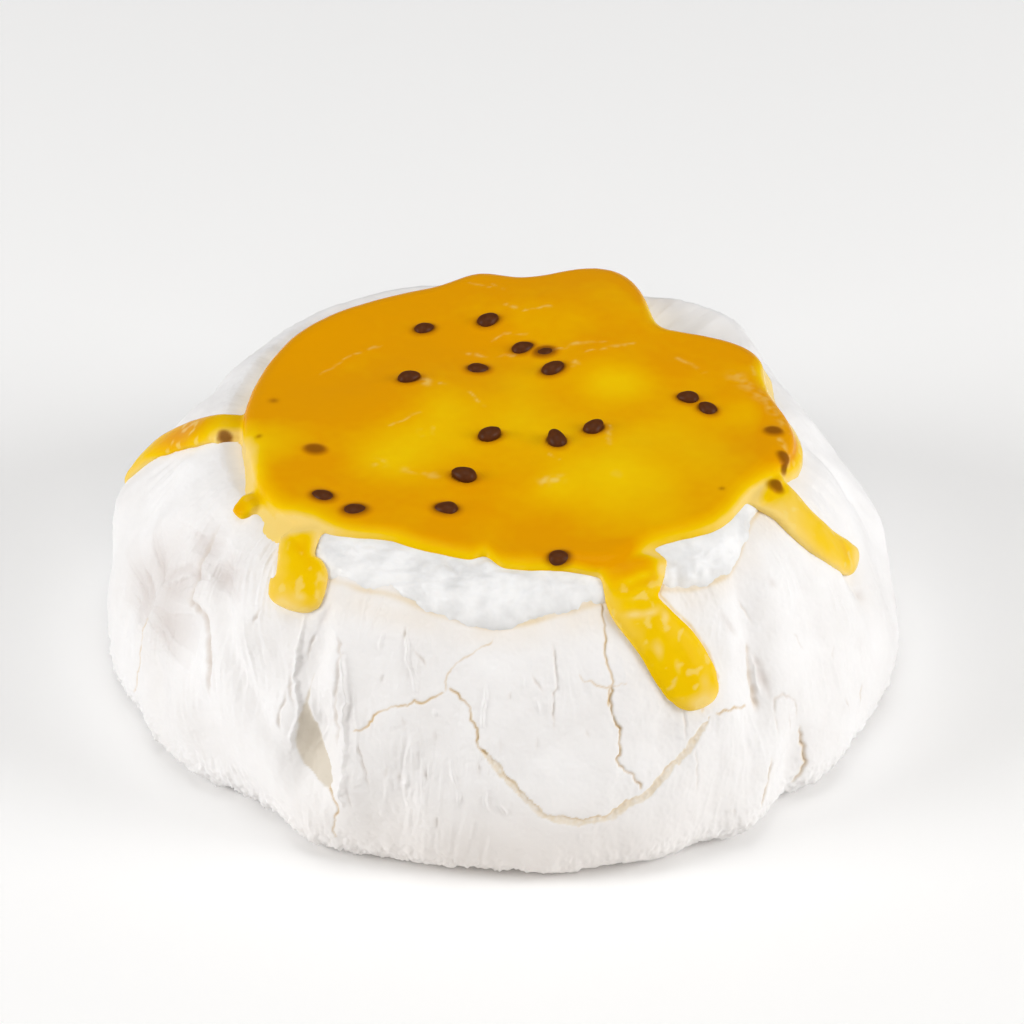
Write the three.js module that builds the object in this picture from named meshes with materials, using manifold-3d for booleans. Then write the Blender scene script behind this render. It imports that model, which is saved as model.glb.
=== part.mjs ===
// A pavlova: a round meringue shell with spatula-swiped sides, a puck of whipped
// cream that droops over its rim at the front, and passion fruit sauce with its
// black seeds and the drips that run down the shell.
// Millimetres and degrees. +Z is up and z = 0 is the flat underside. Angles are
// measured round the axis from +X (the right) towards +Y (the back), so the
// front is at -90.
import * as THREE from 'three';
import { mergeVertices } from 'three/addons/utils/BufferGeometryUtils.js';
import Module from 'manifold-3d';

const wasm = await Module();
wasm.setup();

const gap = 0.3;                    // air left between touching pieces
const middle = { x: 0.12, y: -0.37 };   // of the whole in plan, brought over the origin

const shell = {
  footRadius: 85,                   // edge of the flat underside, set back below the lip
  bellyRadius: 95.3,                // the lip, the widest ring
  bellyHeight: 6,
  rimRadius: 66,                    // where the wall turns over into the dish
  rimHeight: 61,
  wallPower: 1.3333,                // 1 is an ellipse, more is flatter, less is squarer
  wallFade: 8,                      // the flutes fade out this far below the rim
  dishReach: 0.6,                   // share of the radius over which the dish falls
  dishDepth: 5,                     // hollow under the cream
  columns: 104,
  wallRows: 20,
  dishRows: 3,
};

const cream = {
  radius: 63,                       // outline at its lower edge, before the lobes
  roll: 9,                          // width of the rounded edge
  rollPower: 0.8,                   // 1 is an ellipse, less is squarer
  topHeight: 65,
  edgeHeight: 54,                   // where the outline is widest
  bottomHeight: 52,                 // its foot, bedded in the shell
  tuck: 3,                          // how far the foot is set in
  columns: 60,
  rollRows: 5,
  topRows: 2,
};

const sauce = {
  radius: 61.5,                     // outline of the pool, before the lobes
  depth: 2.2,                       // over the cream
  round: 5,                         // rounding of the pool's edge
  sag: 3.5,                         // how far that rounding falls
  flare: 0.5,                       // how much wider the coat is than the pool
  coatHeight: 60,                   // where the coat on the cream's side is widest
  bottomHeight: 51,                 // its foot, bedded in the shell
  columns: 64,
  roundRows: 3,
  topRows: 4,
  dripSides: 8,
  dripSteps: 12,
};

const seed = { length: 5.8, width: 4.1, height: 2.5, sunk: 0.35, segments: 6, rows: 4 };

// Broad forms of the wall. Each pushes the wall out (or in) around an angle and a
// height; lean turns the form, in degrees for each millimetre of height.
const wallForms = [
  { angle: 171, spread: 15, height: 34, band: 14, out: 5, lean: 0 },
  { angle: 28, spread: 14, height: 46, band: 12, out: -2, lean: 0 },
  { angle: -131, spread: 10, height: 4, band: 16, out: -5.5, lean: 0 },
  { angle: -93, spread: 12, height: 3, band: 9, out: -1.6, lean: 0 },
  { angle: -76, spread: 12, height: 4, band: 12, out: 1.6, lean: 0 },
  { angle: -157, spread: 16, height: 16, band: 18, out: -2.2, lean: 0 },
  { angle: 40, spread: 9, height: 60, band: 7, out: 2.5, lean: 0 },
  { angle: 8, spread: 14, height: 26, band: 12, out: 1.5, lean: 0 },
  { angle: -54, spread: 6, height: 4, band: 11, out: 2.8, lean: 0 },
  { angle: -152, spread: 4, height: 14, band: 14, out: -2.4, lean: -0.4 },
  { angle: -139, spread: 3.2, height: 41, band: 15, out: -2.4, lean: -0.85 },
  { angle: -149, spread: 3.5, height: 34, band: 14, out: -1.2, lean: -0.7 },
  { angle: -118.5, spread: 3.6, height: 27, band: 10, out: -4.2, lean: 0.1 },
  { angle: -121, spread: 3, height: 46, band: 9, out: -2, lean: 0.1 },
  { angle: -115.6, spread: 2.6, height: 35, band: 24, out: 1.7, lean: -0.2 },
  { angle: -78, spread: 18, height: 20, band: 17, out: 1.6, lean: 0 },
  { angle: -53.5, spread: 5, height: 44, band: 11, out: -1.3, lean: 0.1 },
  { angle: -45, spread: 3, height: 45, band: 10, out: -1.8, lean: 0.13 },
  { angle: -48, spread: 2.6, height: 33, band: 8, out: -1.8, lean: 0.16 },
  { angle: -43.5, spread: 3, height: 13, band: 10, out: -3, lean: 0.2 },
];

// Lobes of the shell's rim seen from above: angle, spread and how far out.
const rimLobes = [
  { angle: 50, spread: 15, out: 8 },
  { angle: 122, spread: 28, out: 4 },
];

// The spatula leaves furrows of the same kind round the back, each a little
// different in place, spread, height, band, depth and lean.
const backFurrows = {
  first: -20, count: 11, step: 18, shift: 0.6,
  spread: 3.2, leastSpread: 0.8, moreSpread: 0.7,
  lowest: 14, rise: 32,
  band: 16, leastBand: 0.7, moreBand: 0.6,
  out: -2.2, leastOut: 0.5, lean: 0.6,
};

// Shallow flutes left all round by the spatula: count round the cake and depth.
const flutes = [
  { count: 13, depth: 0.5, lean: 0.5, phase: 40 },
  { count: 22, depth: 0.4, lean: -0.4, phase: 10 },
];

// Lobes of an outline seen from above: angle, spread and how far out.
const creamLobes = [
  { angle: 98, spread: 6, out: 2 },
  { angle: 69, spread: 11, out: 7 },
  { angle: 46, spread: 9, out: -5 },
  { angle: 25, spread: 11, out: 3 },
  { angle: -14, spread: 15, out: 4 },
  { angle: -46, spread: 13, out: 4.5 },
  { angle: -85, spread: 62, out: 8 },
  { angle: -92, spread: 13, out: 2.2 },
  { angle: -125, spread: 12, out: 2.5 },
  { angle: 180, spread: 35, out: -3 },
];
const frontDroop = { angle: -85, spread: 45, roll: 10 };   // the edge is broader at the front

const sauceLobes = [
  { angle: 140, spread: 18, out: 2 },
  { angle: 95, spread: 7, out: 4 },
  { angle: 68, spread: 11, out: 9.5 },
  { angle: 46, spread: 9, out: -6 },
  { angle: 25, spread: 10, out: 6 },
  { angle: -8, spread: 18, out: 8 },
  { angle: -42, spread: 12, out: 5 },
  { angle: -67, spread: 8, out: 5 },
  { angle: -104, spread: 13, out: -4.5 },
  { angle: -94, spread: 2.6, out: -3.5 },
  { angle: -118, spread: 7, out: -3 },
  { angle: -145, spread: 14, out: 2.5 },
];

// Where sauce has run over the cream's edge and coats its side.
const coatLobes = [
  { angle: -155, spread: 8, out: 3 },
  { angle: -141, spread: 8, out: 4 },
  { angle: 8, spread: 26, out: 2 },
];

// Mounds and hollows of the sauce's top: plan position, height and spread.
const mounds = [
  { x: 18, y: 46, height: 2.6, spread: 20 },
  { x: -22, y: 6, height: 1.2, spread: 17 },
  { x: 24, y: 22, height: 1.3, spread: 12 },
  { x: 22, y: -20, height: 0.9, spread: 14 },
  { x: 0, y: 27, height: -1.2, spread: 13 },
  { x: -45, y: 20, height: -1.4, spread: 18 },
  { x: 55, y: -6, height: -1, spread: 14 },
  { x: 0, y: -50, height: -1.6, spread: 18 },
];

// Drips, from the pool downwards: where the middle runs over the cream and the
// shell, and its half-width there.
const drips = {
  frontRight: [
    { angle: -62.6, height: 64.9, half: 6.5 },
    { angle: -63.6, height: 63.7, half: 8.6 },
    { angle: -64.2, height: 61.6, half: 7.6 },
    { angle: -65.2, height: 59.2, half: 6.6 },
    { angle: -65.4, height: 57, half: 6.2 },
    { angle: -63.4, height: 52.6, half: 6.6 },
    { angle: -61.4, height: 48, half: 7.4 },
    { angle: -59.9, height: 42.8, half: 7.4 },
    { angle: -58.9, height: 38.6, half: 6.2 },
    { angle: -58.6, height: 34.9, half: 0 },
  ],
  frontLeft: [
    { angle: -137, height: 64, half: 5.6 },
    { angle: -134.8, height: 61.8, half: 5 },
    { angle: -132.6, height: 59.4, half: 5 },
    { angle: -130.4, height: 57.6, half: 7.2 },
    { angle: -129.8, height: 55.4, half: 7.8 },
    { angle: -129.8, height: 53.4, half: 6.4 },
    { angle: -129.8, height: 51.8, half: 0 },
  ],
  right: [
    { angle: -22.5, height: 64, half: 8.2 },
    { angle: -22.2, height: 61.6, half: 7.4 },
    { angle: -22, height: 58.8, half: 6.4 },
    { angle: -22, height: 55.8, half: 6 },
    { angle: -21.3, height: 52.4, half: 5.7 },
    { angle: -19.4, height: 47.6, half: 5.5 },
    { angle: -16.8, height: 43, half: 5.3 },
    { angle: -14.2, height: 39, half: 4.4 },
    { angle: -12.6, height: 35.8, half: 0 },
  ],
  backLeft: [
    { angle: 179, height: 62.8, half: 5.5 },
    { angle: 178.4, height: 61.2, half: 5 },
    { angle: 176.8, height: 59.4, half: 4.6 },
    { angle: 172, height: 52.8, half: 4.4 },
    { angle: 168.7, height: 45.5, half: 3.9 },
    { angle: 168, height: 38.5, half: 3 },
    { angle: 168, height: 34, half: 0 },
  ],
  left: [
    { angle: -153.8, height: 62.8, half: 2.6 },
    { angle: -153, height: 61.4, half: 3.3 },
    { angle: -152.6, height: 60.4, half: 3 },
    { angle: -152.2, height: 59.2, half: 0 },
  ],
};
const dripDepth = { lift: 0.7, thick: 1.8, buried: 4, taperHalf: 4 };   // thinner where narrower than taperHalf

// Seeds that show: plan position and the turn of the long axis.
const seeds = [
  [-19, 37.2, 20], [-3.6, 40.1, 25], [4.8, 28.6, 20], [10.1, 26.2, -10],
  [-5.9, 19.7, 10], [-22.3, 13.8, 10], [12, 18.3, 27], [44, 6.6, -10],
  [48.6, 2.4, -40], [-3, -10.4, 15], [12.7, -13, -50], [21.5, -7.7, 35],
  [-9, -27.1, -10], [-13, -39.6, -5], [-44, -15.6, -15], [-41.7, -35.3, -15],
  [-34.1, -40.9, 10], [62.8, -5.7, -20], [64.6, -16.9, -30], [66.6, -19.6, 40],
  [61.9, -25, 5], [13, -58.6, 0],
];

const radians = THREE.MathUtils.degToRad;
const smooth = (offset, spread) => Math.exp(-((offset / spread) ** 2));
const turnTo = (angle, from) => THREE.MathUtils.euclideanModulo(angle - from + 180, 360) - 180;
const wander = (n) => {             // a fixed, well-spread number from 0 to 1 for each n
  const value = Math.sin(n * 12.9898 + 4.1) * 43758.5453;
  return value - Math.floor(value);
};
const around = (angle, radius, height) =>
  new THREE.Vector3(radius * Math.cos(radians(angle)), radius * Math.sin(radians(angle)), height);
const lobed = (lobes, angle) =>
  lobes.reduce((sum, lobe) => sum + lobe.out * smooth(turnTo(angle, lobe.angle), lobe.spread), 0);

// A closed solid of rings round the axis. ringAt(angle, ring) gives each point, and
// the first and last rings are single points on the axis.
function ringedSolid(columns, rings, ringAt) {
  const points = [ringAt(0, 0)];
  for (let ring = 1; ring < rings - 1; ring += 1) {
    for (let column = 0; column < columns; column += 1) {
      points.push(ringAt((column * 360) / columns, ring));
    }
  }
  points.push(ringAt(0, rings - 1));
  const last = points.length - 1;
  const at = (ring, column) => 1 + (ring - 1) * columns + (column % columns);
  const faces = [];
  for (let column = 0; column < columns; column += 1) {
    faces.push(0, at(1, column + 1), at(1, column));
    for (let ring = 1; ring < rings - 2; ring += 1) {
      const [a, b] = [at(ring, column), at(ring, column + 1)];
      const [c, d] = [at(ring + 1, column), at(ring + 1, column + 1)];
      faces.push(a, b, d, a, d, c);
    }
    faces.push(last, at(rings - 2, column), at(rings - 2, column + 1));
  }
  const geometry = new THREE.BufferGeometry().setFromPoints(points);
  geometry.setIndex(faces);
  return geometry;
}

function toSolid(geometry) {
  const bare = new THREE.BufferGeometry();
  bare.setAttribute('position', geometry.getAttribute('position'));
  bare.setIndex(geometry.getIndex());
  const merged = mergeVertices(bare, 1e-4);
  return new wasm.Manifold(new wasm.Mesh({
    numProp: 3,
    vertProperties: Float32Array.from(merged.getAttribute('position').array),
    triVerts: Uint32Array.from(merged.getIndex().array),
  }));
}

function toGeometry(solid) {
  const mesh = solid.getMesh();
  const geometry = new THREE.BufferGeometry();
  geometry.setAttribute('position', new THREE.BufferAttribute(mesh.vertProperties, mesh.numProp));
  geometry.setIndex(new THREE.BufferAttribute(mesh.triVerts, 1));
  return geometry;
}

const backForms = Array.from({ length: backFurrows.count }, (_, n) => ({
  angle: backFurrows.first + backFurrows.step * (n + backFurrows.shift * wander(n)),
  spread: backFurrows.spread * (backFurrows.leastSpread + backFurrows.moreSpread * wander(n + 20)),
  height: backFurrows.lowest + backFurrows.rise * wander(n + 40),
  band: backFurrows.band * (backFurrows.leastBand + backFurrows.moreBand * wander(n + 60)),
  out: backFurrows.out * (backFurrows.leastOut + wander(n + 80)),
  lean: backFurrows.lean * (wander(n + 100) - 0.5),
}));

function wallRelief(angle, height) {
  const forms = [...wallForms, ...backForms].reduce((sum, form) => {
    const rise = height - form.height;
    const side = turnTo(angle, form.angle + form.lean * rise);
    return sum + form.out * smooth(side, form.spread) * smooth(rise, form.band);
  }, 0);
  const fluted = flutes.reduce((sum, flute) => {
    const turn = flute.count * (angle + flute.phase + flute.lean * height);
    return sum + flute.depth * Math.sin(radians(turn));
  }, 0);
  return forms + fluted * THREE.MathUtils.smoothstep(shell.rimHeight - height, 0, shell.wallFade);
}

const rimRadius = (angle) => shell.rimRadius + lobed(rimLobes, angle);

// Plan radius of the shell's wall at a height above the belly.
function wallRadius(angle, height) {
  const share = (height - shell.bellyHeight) / (shell.rimHeight - shell.bellyHeight);
  const sine = THREE.MathUtils.clamp(share, 0, 1) ** (1 / shell.wallPower);
  const across = (1 - sine * sine) ** (shell.wallPower / 2);
  const rim = rimRadius(angle);
  return rim + (shell.bellyRadius - rim) * across + wallRelief(angle, height);
}

function makeShellGeometry(grow = 0) {
  const { wallRows, dishRows } = shell;
  const wallStart = 2;
  const dishStart = wallStart + wallRows;
  const rings = dishStart + dishRows + 2;
  const ringAt = (angle, ring) => {
    if (ring === 0) return new THREE.Vector3(0, 0, -grow);
    if (ring === rings - 1) return new THREE.Vector3(0, 0, shell.rimHeight - shell.dishDepth + grow);
    if (ring < wallStart) return around(angle, shell.footRadius + wallRelief(angle, 0) + grow, -grow);
    if (ring <= dishStart) {
      const rise = radians((90 * (ring - wallStart)) / wallRows);
      const up = Math.sin(rise) ** shell.wallPower;
      const height = shell.bellyHeight + (shell.rimHeight - shell.bellyHeight) * up;
      const radius = wallRadius(angle, height);
      return around(angle, radius + grow * Math.cos(rise), height + grow * Math.sin(rise));
    }
    const inward = (ring - dishStart) / (dishRows + 1);
    const radius = (rimRadius(angle) + wallRelief(angle, shell.rimHeight)) * (1 - inward);
    const drop = shell.dishDepth * THREE.MathUtils.smoothstep(inward, 0, shell.dishReach);
    return around(angle, radius, shell.rimHeight - drop + grow);
  };
  return ringedSolid(shell.columns, rings, ringAt);
}

const creamEdge = (angle) => cream.radius + lobed(creamLobes, angle);
const creamRoll = (angle) =>
  cream.roll + frontDroop.roll * smooth(turnTo(angle, frontDroop.angle), frontDroop.spread);

function topRelief(x, y) {
  return mounds.reduce(
    (sum, mound) => sum + mound.height * smooth(Math.hypot(x - mound.x, y - mound.y), mound.spread), 0);
}

function makeCreamGeometry(grow = 0) {
  const { rollRows, topRows, rollPower, edgeHeight, bottomHeight } = cream;
  const rings = rollRows + topRows + 4;
  const ringAt = (angle, ring) => {
    if (ring === 0) return new THREE.Vector3(0, 0, bottomHeight);
    if (ring === rings - 1) return new THREE.Vector3(0, 0, cream.topHeight + topRelief(0, 0) + grow);
    const edge = creamEdge(angle);
    const roll = creamRoll(angle);
    if (ring === 1) return around(angle, edge - cream.tuck, bottomHeight);
    if (ring <= rollRows + 2) {
      const turn = radians((90 * (ring - 2)) / rollRows);
      const point = around(angle, edge - roll + (roll + grow) * Math.cos(turn) ** rollPower, edgeHeight);
      const top = cream.topHeight + topRelief(point.x, point.y) + grow;
      point.z += (top - edgeHeight) * Math.sin(turn) ** rollPower;
      return point;
    }
    const inward = (ring - rollRows - 2) / (topRows + 1);
    const point = around(angle, (edge - roll) * (1 - inward), 0);
    point.z = cream.topHeight + topRelief(point.x, point.y) + grow;
    return point;
  };
  return ringedSolid(cream.columns, rings, ringAt);
}

// Plan radius of the outside, cream or shell, at a height near the rim or below it.
function skinRadius(angle, height) {
  const edge = creamEdge(angle);
  const rim = around(angle, edge, 0);
  const full = cream.topHeight + topRelief(rim.x, rim.y) - cream.edgeHeight;
  const sine = THREE.MathUtils.clamp((height - cream.edgeHeight) / full, 0, 1) ** (1 / cream.rollPower);
  const across = Math.sqrt(1 - sine ** 2) ** cream.rollPower;
  const onCream = edge - creamRoll(angle) * (1 - across);
  return height < shell.rimHeight ? Math.max(onCream, wallRadius(angle, height)) : onCream;
}

const sauceEdge = (angle) => sauce.radius + lobed(sauceLobes, angle);

// Height of the pool's surface over a plan position, down to the rounded edge.
function sauceTop(x, y) {
  const edge = sauceEdge(THREE.MathUtils.radToDeg(Math.atan2(y, x)));
  const out = THREE.MathUtils.clamp(1 - (edge - Math.hypot(x, y)) / sauce.round, 0, 1);
  return cream.topHeight + topRelief(x, y) + sauce.depth - sauce.sag * (1 - Math.sqrt(1 - out * out));
}

function makePoolGeometry() {
  const { roundRows, topRows } = sauce;
  const coatRing = 2;
  const rimRing = coatRing + 1;
  const topRing = rimRing + roundRows;
  const rings = topRing + topRows + 2;
  const ringAt = (angle, ring) => {
    if (ring === 0) return new THREE.Vector3(0, 0, sauce.bottomHeight);
    const edge = sauceEdge(angle);
    if (ring <= coatRing) {
      const height = ring === coatRing ? sauce.coatHeight : sauce.bottomHeight;
      return around(angle, edge + sauce.flare + lobed(coatLobes, angle), height);
    }
    const turn = radians((90 * Math.min(ring - rimRing, roundRows)) / roundRows);
    const inward = Math.max(0, ring - topRing) / (topRows + 1);
    const point = around(angle, (edge - sauce.round * (1 - Math.cos(turn))) * (1 - inward), 0);
    point.z = sauceTop(point.x, point.y);
    return point;
  };
  return ringedSolid(sauce.columns, rings, ringAt);
}

// A tongue of sauce draped along a path: a flat-bellied oval section, square at
// the pool and closed to a point at the tip, bedded into what it lies on.
function makeDripGeometry(path) {
  const { dripSides, dripSteps } = sauce;
  const onSkin = (angle, height) => around(angle, skinRadius(angle, height), height);
  const places = path.map(({ angle, height }) => onSkin(angle, height));
  const route = new THREE.CatmullRomCurve3(places);
  const halves = new THREE.CatmullRomCurve3(path.map((stop, n) => new THREE.Vector3(n, stop.half, 0)));
  const points = [places[0]];
  for (let step = 0; step < dripSteps; step += 1) {
    const share = step / dripSteps;
    const middle = route.getPoint(share);
    const along = route.getTangent(share);
    const upAndOut = new THREE.Vector3(middle.x, middle.y, Math.hypot(middle.x, middle.y));
    const sideways = new THREE.Vector3().crossVectors(along, upAndOut).normalize();
    const off = new THREE.Vector3().crossVectors(sideways, along).normalize();
    const half = halves.getPoint(share).y;
    const thin = Math.min(1, half / dripDepth.taperHalf);
    for (let side = 0; side < dripSides; side += 1) {
      const turn = (side * 2 * Math.PI) / dripSides;
      const point = middle.clone().addScaledVector(sideways, half * Math.cos(turn));
      const bulge = Math.sin(turn) * (Math.sin(turn) > 0 ? thin * dripDepth.thick : dripDepth.buried);
      points.push(onSkin(THREE.MathUtils.radToDeg(Math.atan2(point.y, point.x)), point.z)
        .addScaledVector(off, thin * dripDepth.lift + bulge));
    }
  }
  points.push(places[places.length - 1]);
  const last = points.length - 1;
  const at = (ring, side) => 1 + ring * dripSides + (side % dripSides);
  const faces = [];
  for (let side = 0; side < dripSides; side += 1) {
    faces.push(0, at(0, side), at(0, side + 1));
    for (let ring = 0; ring < dripSteps - 1; ring += 1) {
      const [a, b] = [at(ring, side), at(ring, side + 1)];
      const [c, d] = [at(ring + 1, side), at(ring + 1, side + 1)];
      faces.push(a, d, b, a, c, d);
    }
    faces.push(last, at(dripSteps - 1, side + 1), at(dripSteps - 1, side));
  }
  const geometry = new THREE.BufferGeometry().setFromPoints(points);
  geometry.setIndex(faces);
  return geometry;
}

function makeSeedGeometry([x, y, turn]) {
  const geometry = new THREE.SphereGeometry(0.5, seed.segments, seed.rows);
  geometry.deleteAttribute('normal');
  geometry.deleteAttribute('uv');
  const merged = mergeVertices(geometry, 1e-4);
  merged.rotateX(Math.PI / 2);
  merged.scale(seed.length, seed.width, seed.height);
  merged.rotateZ(radians(turn));
  merged.translate(x, y, sauceTop(x, y) - seed.height * seed.sunk);
  return merged;
}

const shellGeometry = makeShellGeometry();
const grownShell = toSolid(makeShellGeometry(gap));
const creamGeometry = toGeometry(toSolid(makeCreamGeometry()).subtract(grownShell));

const sauceParts = [
  makePoolGeometry(),
  ...Object.values(drips).map(makeDripGeometry),
  ...seeds.map(makeSeedGeometry),
];
const sauceGeometry = toGeometry(
  sauceParts.map(toSolid).reduce((whole, piece) => whole.add(piece))
    .subtract(toSolid(makeCreamGeometry(gap)))
    .subtract(grownShell));

function makePiece(name, geometry, color, roughness) {
  geometry.translate(-middle.x, -middle.y, 0);
  const mesh = new THREE.Mesh(geometry, new THREE.MeshStandardMaterial({ color, roughness, metalness: 0 }));
  mesh.name = name;
  return mesh;
}

const pavlova = new THREE.Group();
pavlova.add(
  makePiece('meringue', shellGeometry, 0xf3f0ea, 0.85),
  makePiece('cream', creamGeometry, 0xf5f4f1, 0.5),
  makePiece('sauce', sauceGeometry, 0xe0a008, 0.12),
);

export default pavlova;
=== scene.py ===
# A whole pavlova: meringue shell, whipped cream, and passion fruit sauce with its seeds.
# Lengths are millimetres until a mesh is made. Angles are degrees round the axis, from +X
# (the right) towards +Y (the back), so the front is at -90.
import itertools
import math

import bpy
import numpy as np
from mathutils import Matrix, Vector
from mathutils.bvhtree import BVHTree


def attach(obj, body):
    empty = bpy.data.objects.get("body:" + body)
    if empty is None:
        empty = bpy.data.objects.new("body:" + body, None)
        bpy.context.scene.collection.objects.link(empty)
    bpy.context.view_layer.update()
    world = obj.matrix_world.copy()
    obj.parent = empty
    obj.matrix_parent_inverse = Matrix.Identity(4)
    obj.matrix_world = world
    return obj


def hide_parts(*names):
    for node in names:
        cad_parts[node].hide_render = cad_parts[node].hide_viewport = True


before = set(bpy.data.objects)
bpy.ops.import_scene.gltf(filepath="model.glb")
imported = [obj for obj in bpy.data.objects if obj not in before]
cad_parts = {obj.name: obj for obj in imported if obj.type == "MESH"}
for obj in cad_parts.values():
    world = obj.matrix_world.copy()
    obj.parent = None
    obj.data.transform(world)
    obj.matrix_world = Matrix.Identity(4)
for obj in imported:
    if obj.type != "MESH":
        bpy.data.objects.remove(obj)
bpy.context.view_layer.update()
print("frame loaded")

middle = np.array([0.12, -0.37, 0.0])     # of the whole in plan, brought over the origin


def smooth(offset, spread):
    return np.exp(-((offset / spread) ** 2))


def ramp(value, low, high):               # 0 below low, 1 above high, eased between
    share = np.clip((value - low) / (high - low), 0, 1)
    return share * share * (3 - 2 * share)


def turnTo(angle, start):                 # from -180 to 180
    return (angle - start + 180) % 360 - 180


def wander(n):                            # a fixed, well-spread number from 0 to 1 for each n
    value = math.sin(n * 12.9898 + 4.1) * 43758.5453
    return value - math.floor(value)


def lobed(lobes, angle):
    return sum(out * smooth(turnTo(angle, at), spread) for at, spread, out in lobes)


def softNoise(points, cell, seedNumber):  # gradient noise, about -1 to 1, one bump a cell
    random = np.random.default_rng(seedNumber)
    order = np.tile(random.permutation(256), 3)
    slopes = random.normal(size=(256, 3))
    slopes /= np.linalg.norm(slopes, axis=1)[:, None]
    grid = points.reshape(-1, 3) / cell
    low = np.floor(grid).astype(int)
    part = grid - low
    low &= 255
    blend = part ** 3 * (part * (part * 6 - 15) + 10)
    total = np.zeros(len(grid))
    for corner in itertools.product((0, 1), repeat=3):
        x, y, z = (low + corner).T
        pick = order[order[order[x] + y] + z]
        weight = np.prod(np.where(corner, blend, 1 - blend), axis=1)
        total += weight * np.einsum("ij,ij->i", slopes[pick], part - corner)
    return (1.6 * total).reshape(points.shape[:-1])


def around(angle, radius, height):
    turn = np.radians(angle)
    parts = np.broadcast_arrays(radius * np.cos(turn), radius * np.sin(turn), height)
    return np.stack(parts, axis=-1)


def gridNormals(rings):                   # of a grid of rings, each ring closed on itself
    wide = np.concatenate([rings[:, -1:], rings, rings[:, :1]], axis=1)
    sideways = wide[:, 2:] - wide[:, :-2]
    upwards = np.gradient(rings, axis=0)
    normals = np.cross(sideways, upwards)
    return normals / np.maximum(np.linalg.norm(normals, axis=-1), 1e-9)[..., None]


def closeRings(rings, first, last):       # points and faces of a solid, closed at two end points
    rows, columns = rings.shape[:2]
    points = np.concatenate([rings.reshape(-1, 3), [first, last]])
    at = np.arange(rows * columns).reshape(rows, columns)
    beside = np.roll(at, -1, axis=1)
    quads = np.stack([at[:-1], beside[:-1], beside[1:], at[1:]], axis=-1).reshape(-1, 4)
    under = np.stack([beside[0], at[0], np.full(columns, rows * columns)], axis=-1)
    over = np.stack([at[-1], beside[-1], np.full(columns, rows * columns + 1)], axis=-1)
    return points, quads, np.concatenate([under, over])


def makeMesh(name, points, quads, triangles):
    mesh = bpy.data.meshes.new(name)
    corners = np.concatenate([quads.ravel(), triangles.ravel()])
    starts = [np.arange(len(quads)) * 4, len(quads) * 4 + np.arange(len(triangles)) * 3]
    starts = np.concatenate(starts)
    mesh.vertices.add(len(points))
    mesh.vertices.foreach_set("co", ((points - middle) / 1000).astype(np.float32).ravel())
    mesh.loops.add(len(corners))
    mesh.loops.foreach_set("vertex_index", corners.astype(np.int32))
    mesh.polygons.add(len(starts))
    mesh.polygons.foreach_set("loop_start", starts.astype(np.int32))
    mesh.update(calc_edges=True)
    mesh.shade_smooth()
    return mesh


def addPiece(name, mesh):
    piece = bpy.data.objects.new(name, mesh)
    bpy.context.scene.collection.objects.link(piece)
    return piece


def meshPoints(mesh):                     # back in millimetres, where the forms are worked out
    points = np.empty(len(mesh.vertices) * 3, np.float32)
    mesh.vertices.foreach_get("co", points)
    return points.reshape(-1, 3).astype(float) * 1000 + middle


def addMask(mesh, name, values):          # one number a vertex, for the material
    layer = mesh.attributes.new(name, "FLOAT", "POINT")
    layer.data.foreach_set("value", np.asarray(values, np.float32).ravel())


def applied(piece):                       # a mesh with the piece's modifiers in it
    evaluated = piece.evaluated_get(bpy.context.evaluated_depsgraph_get())
    return bpy.data.meshes.new_from_object(evaluated)


def linearColour(code):                   # from sRGB hex
    shares = [int(code[n:n + 2], 16) / 255 for n in (1, 3, 5)]
    return [s / 12.92 if s <= 0.04045 else ((s + 0.055) / 1.055) ** 2.4 for s in shares] + [1]


def addNode(tree, kind, inputs=None, **settings):
    node = tree.nodes.new(kind)
    for name, value in settings.items():
        setattr(node, name, value)
    for name, value in (inputs or {}).items():
        if isinstance(value, bpy.types.NodeSocket):
            tree.links.new(value, node.inputs[name])
        else:
            node.inputs[name].default_value = value
    return node


def newMaterial(name):
    material = bpy.data.materials.new(name)
    material.use_nodes = True
    material.node_tree.nodes.clear()
    return material, material.node_tree


shell = {
    "footRadius": 85,                     # edge of the flat underside, set back below the lip
    "bellyRadius": 95.3,                  # the lip, the widest ring
    "bellyHeight": 6,
    "rimRadius": 66,                      # where the wall turns over into the dish
    "rimHeight": 61,
    "wallPower": 1.3333,                  # 1 is an ellipse, more is flatter, less is squarer
    "wallFade": 8,                        # the flutes fade out this far below the rim
    "dishReach": 0.6,                     # share of the radius over which the dish falls
    "dishDepth": 5,
    "dishPower": 1.35,                    # its rings stand closer together at the rim
    "dishCalm": (30, 0.3),                # further in than this, marks keep this share
    "footRings": (0.3, 0.6, 0.82, 0.93),  # shares of the foot's radius
    "footFade": 1.2,                      # marks start at the foot and are full above this
    "lipPowers": (1.7, 1.9),              # how the lip bends outwards and upwards
    "lipLength": 11,                      # along the profile from the foot
    "columns": 1120,
    "frontDensity": 2.4,                  # columns stand this much closer at the front
    "frontSpread": 62,
    "frontFade": 25,
    "lipRows": 26,
    "wallRows": 200,
    "dishRows": 22,
}

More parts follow.
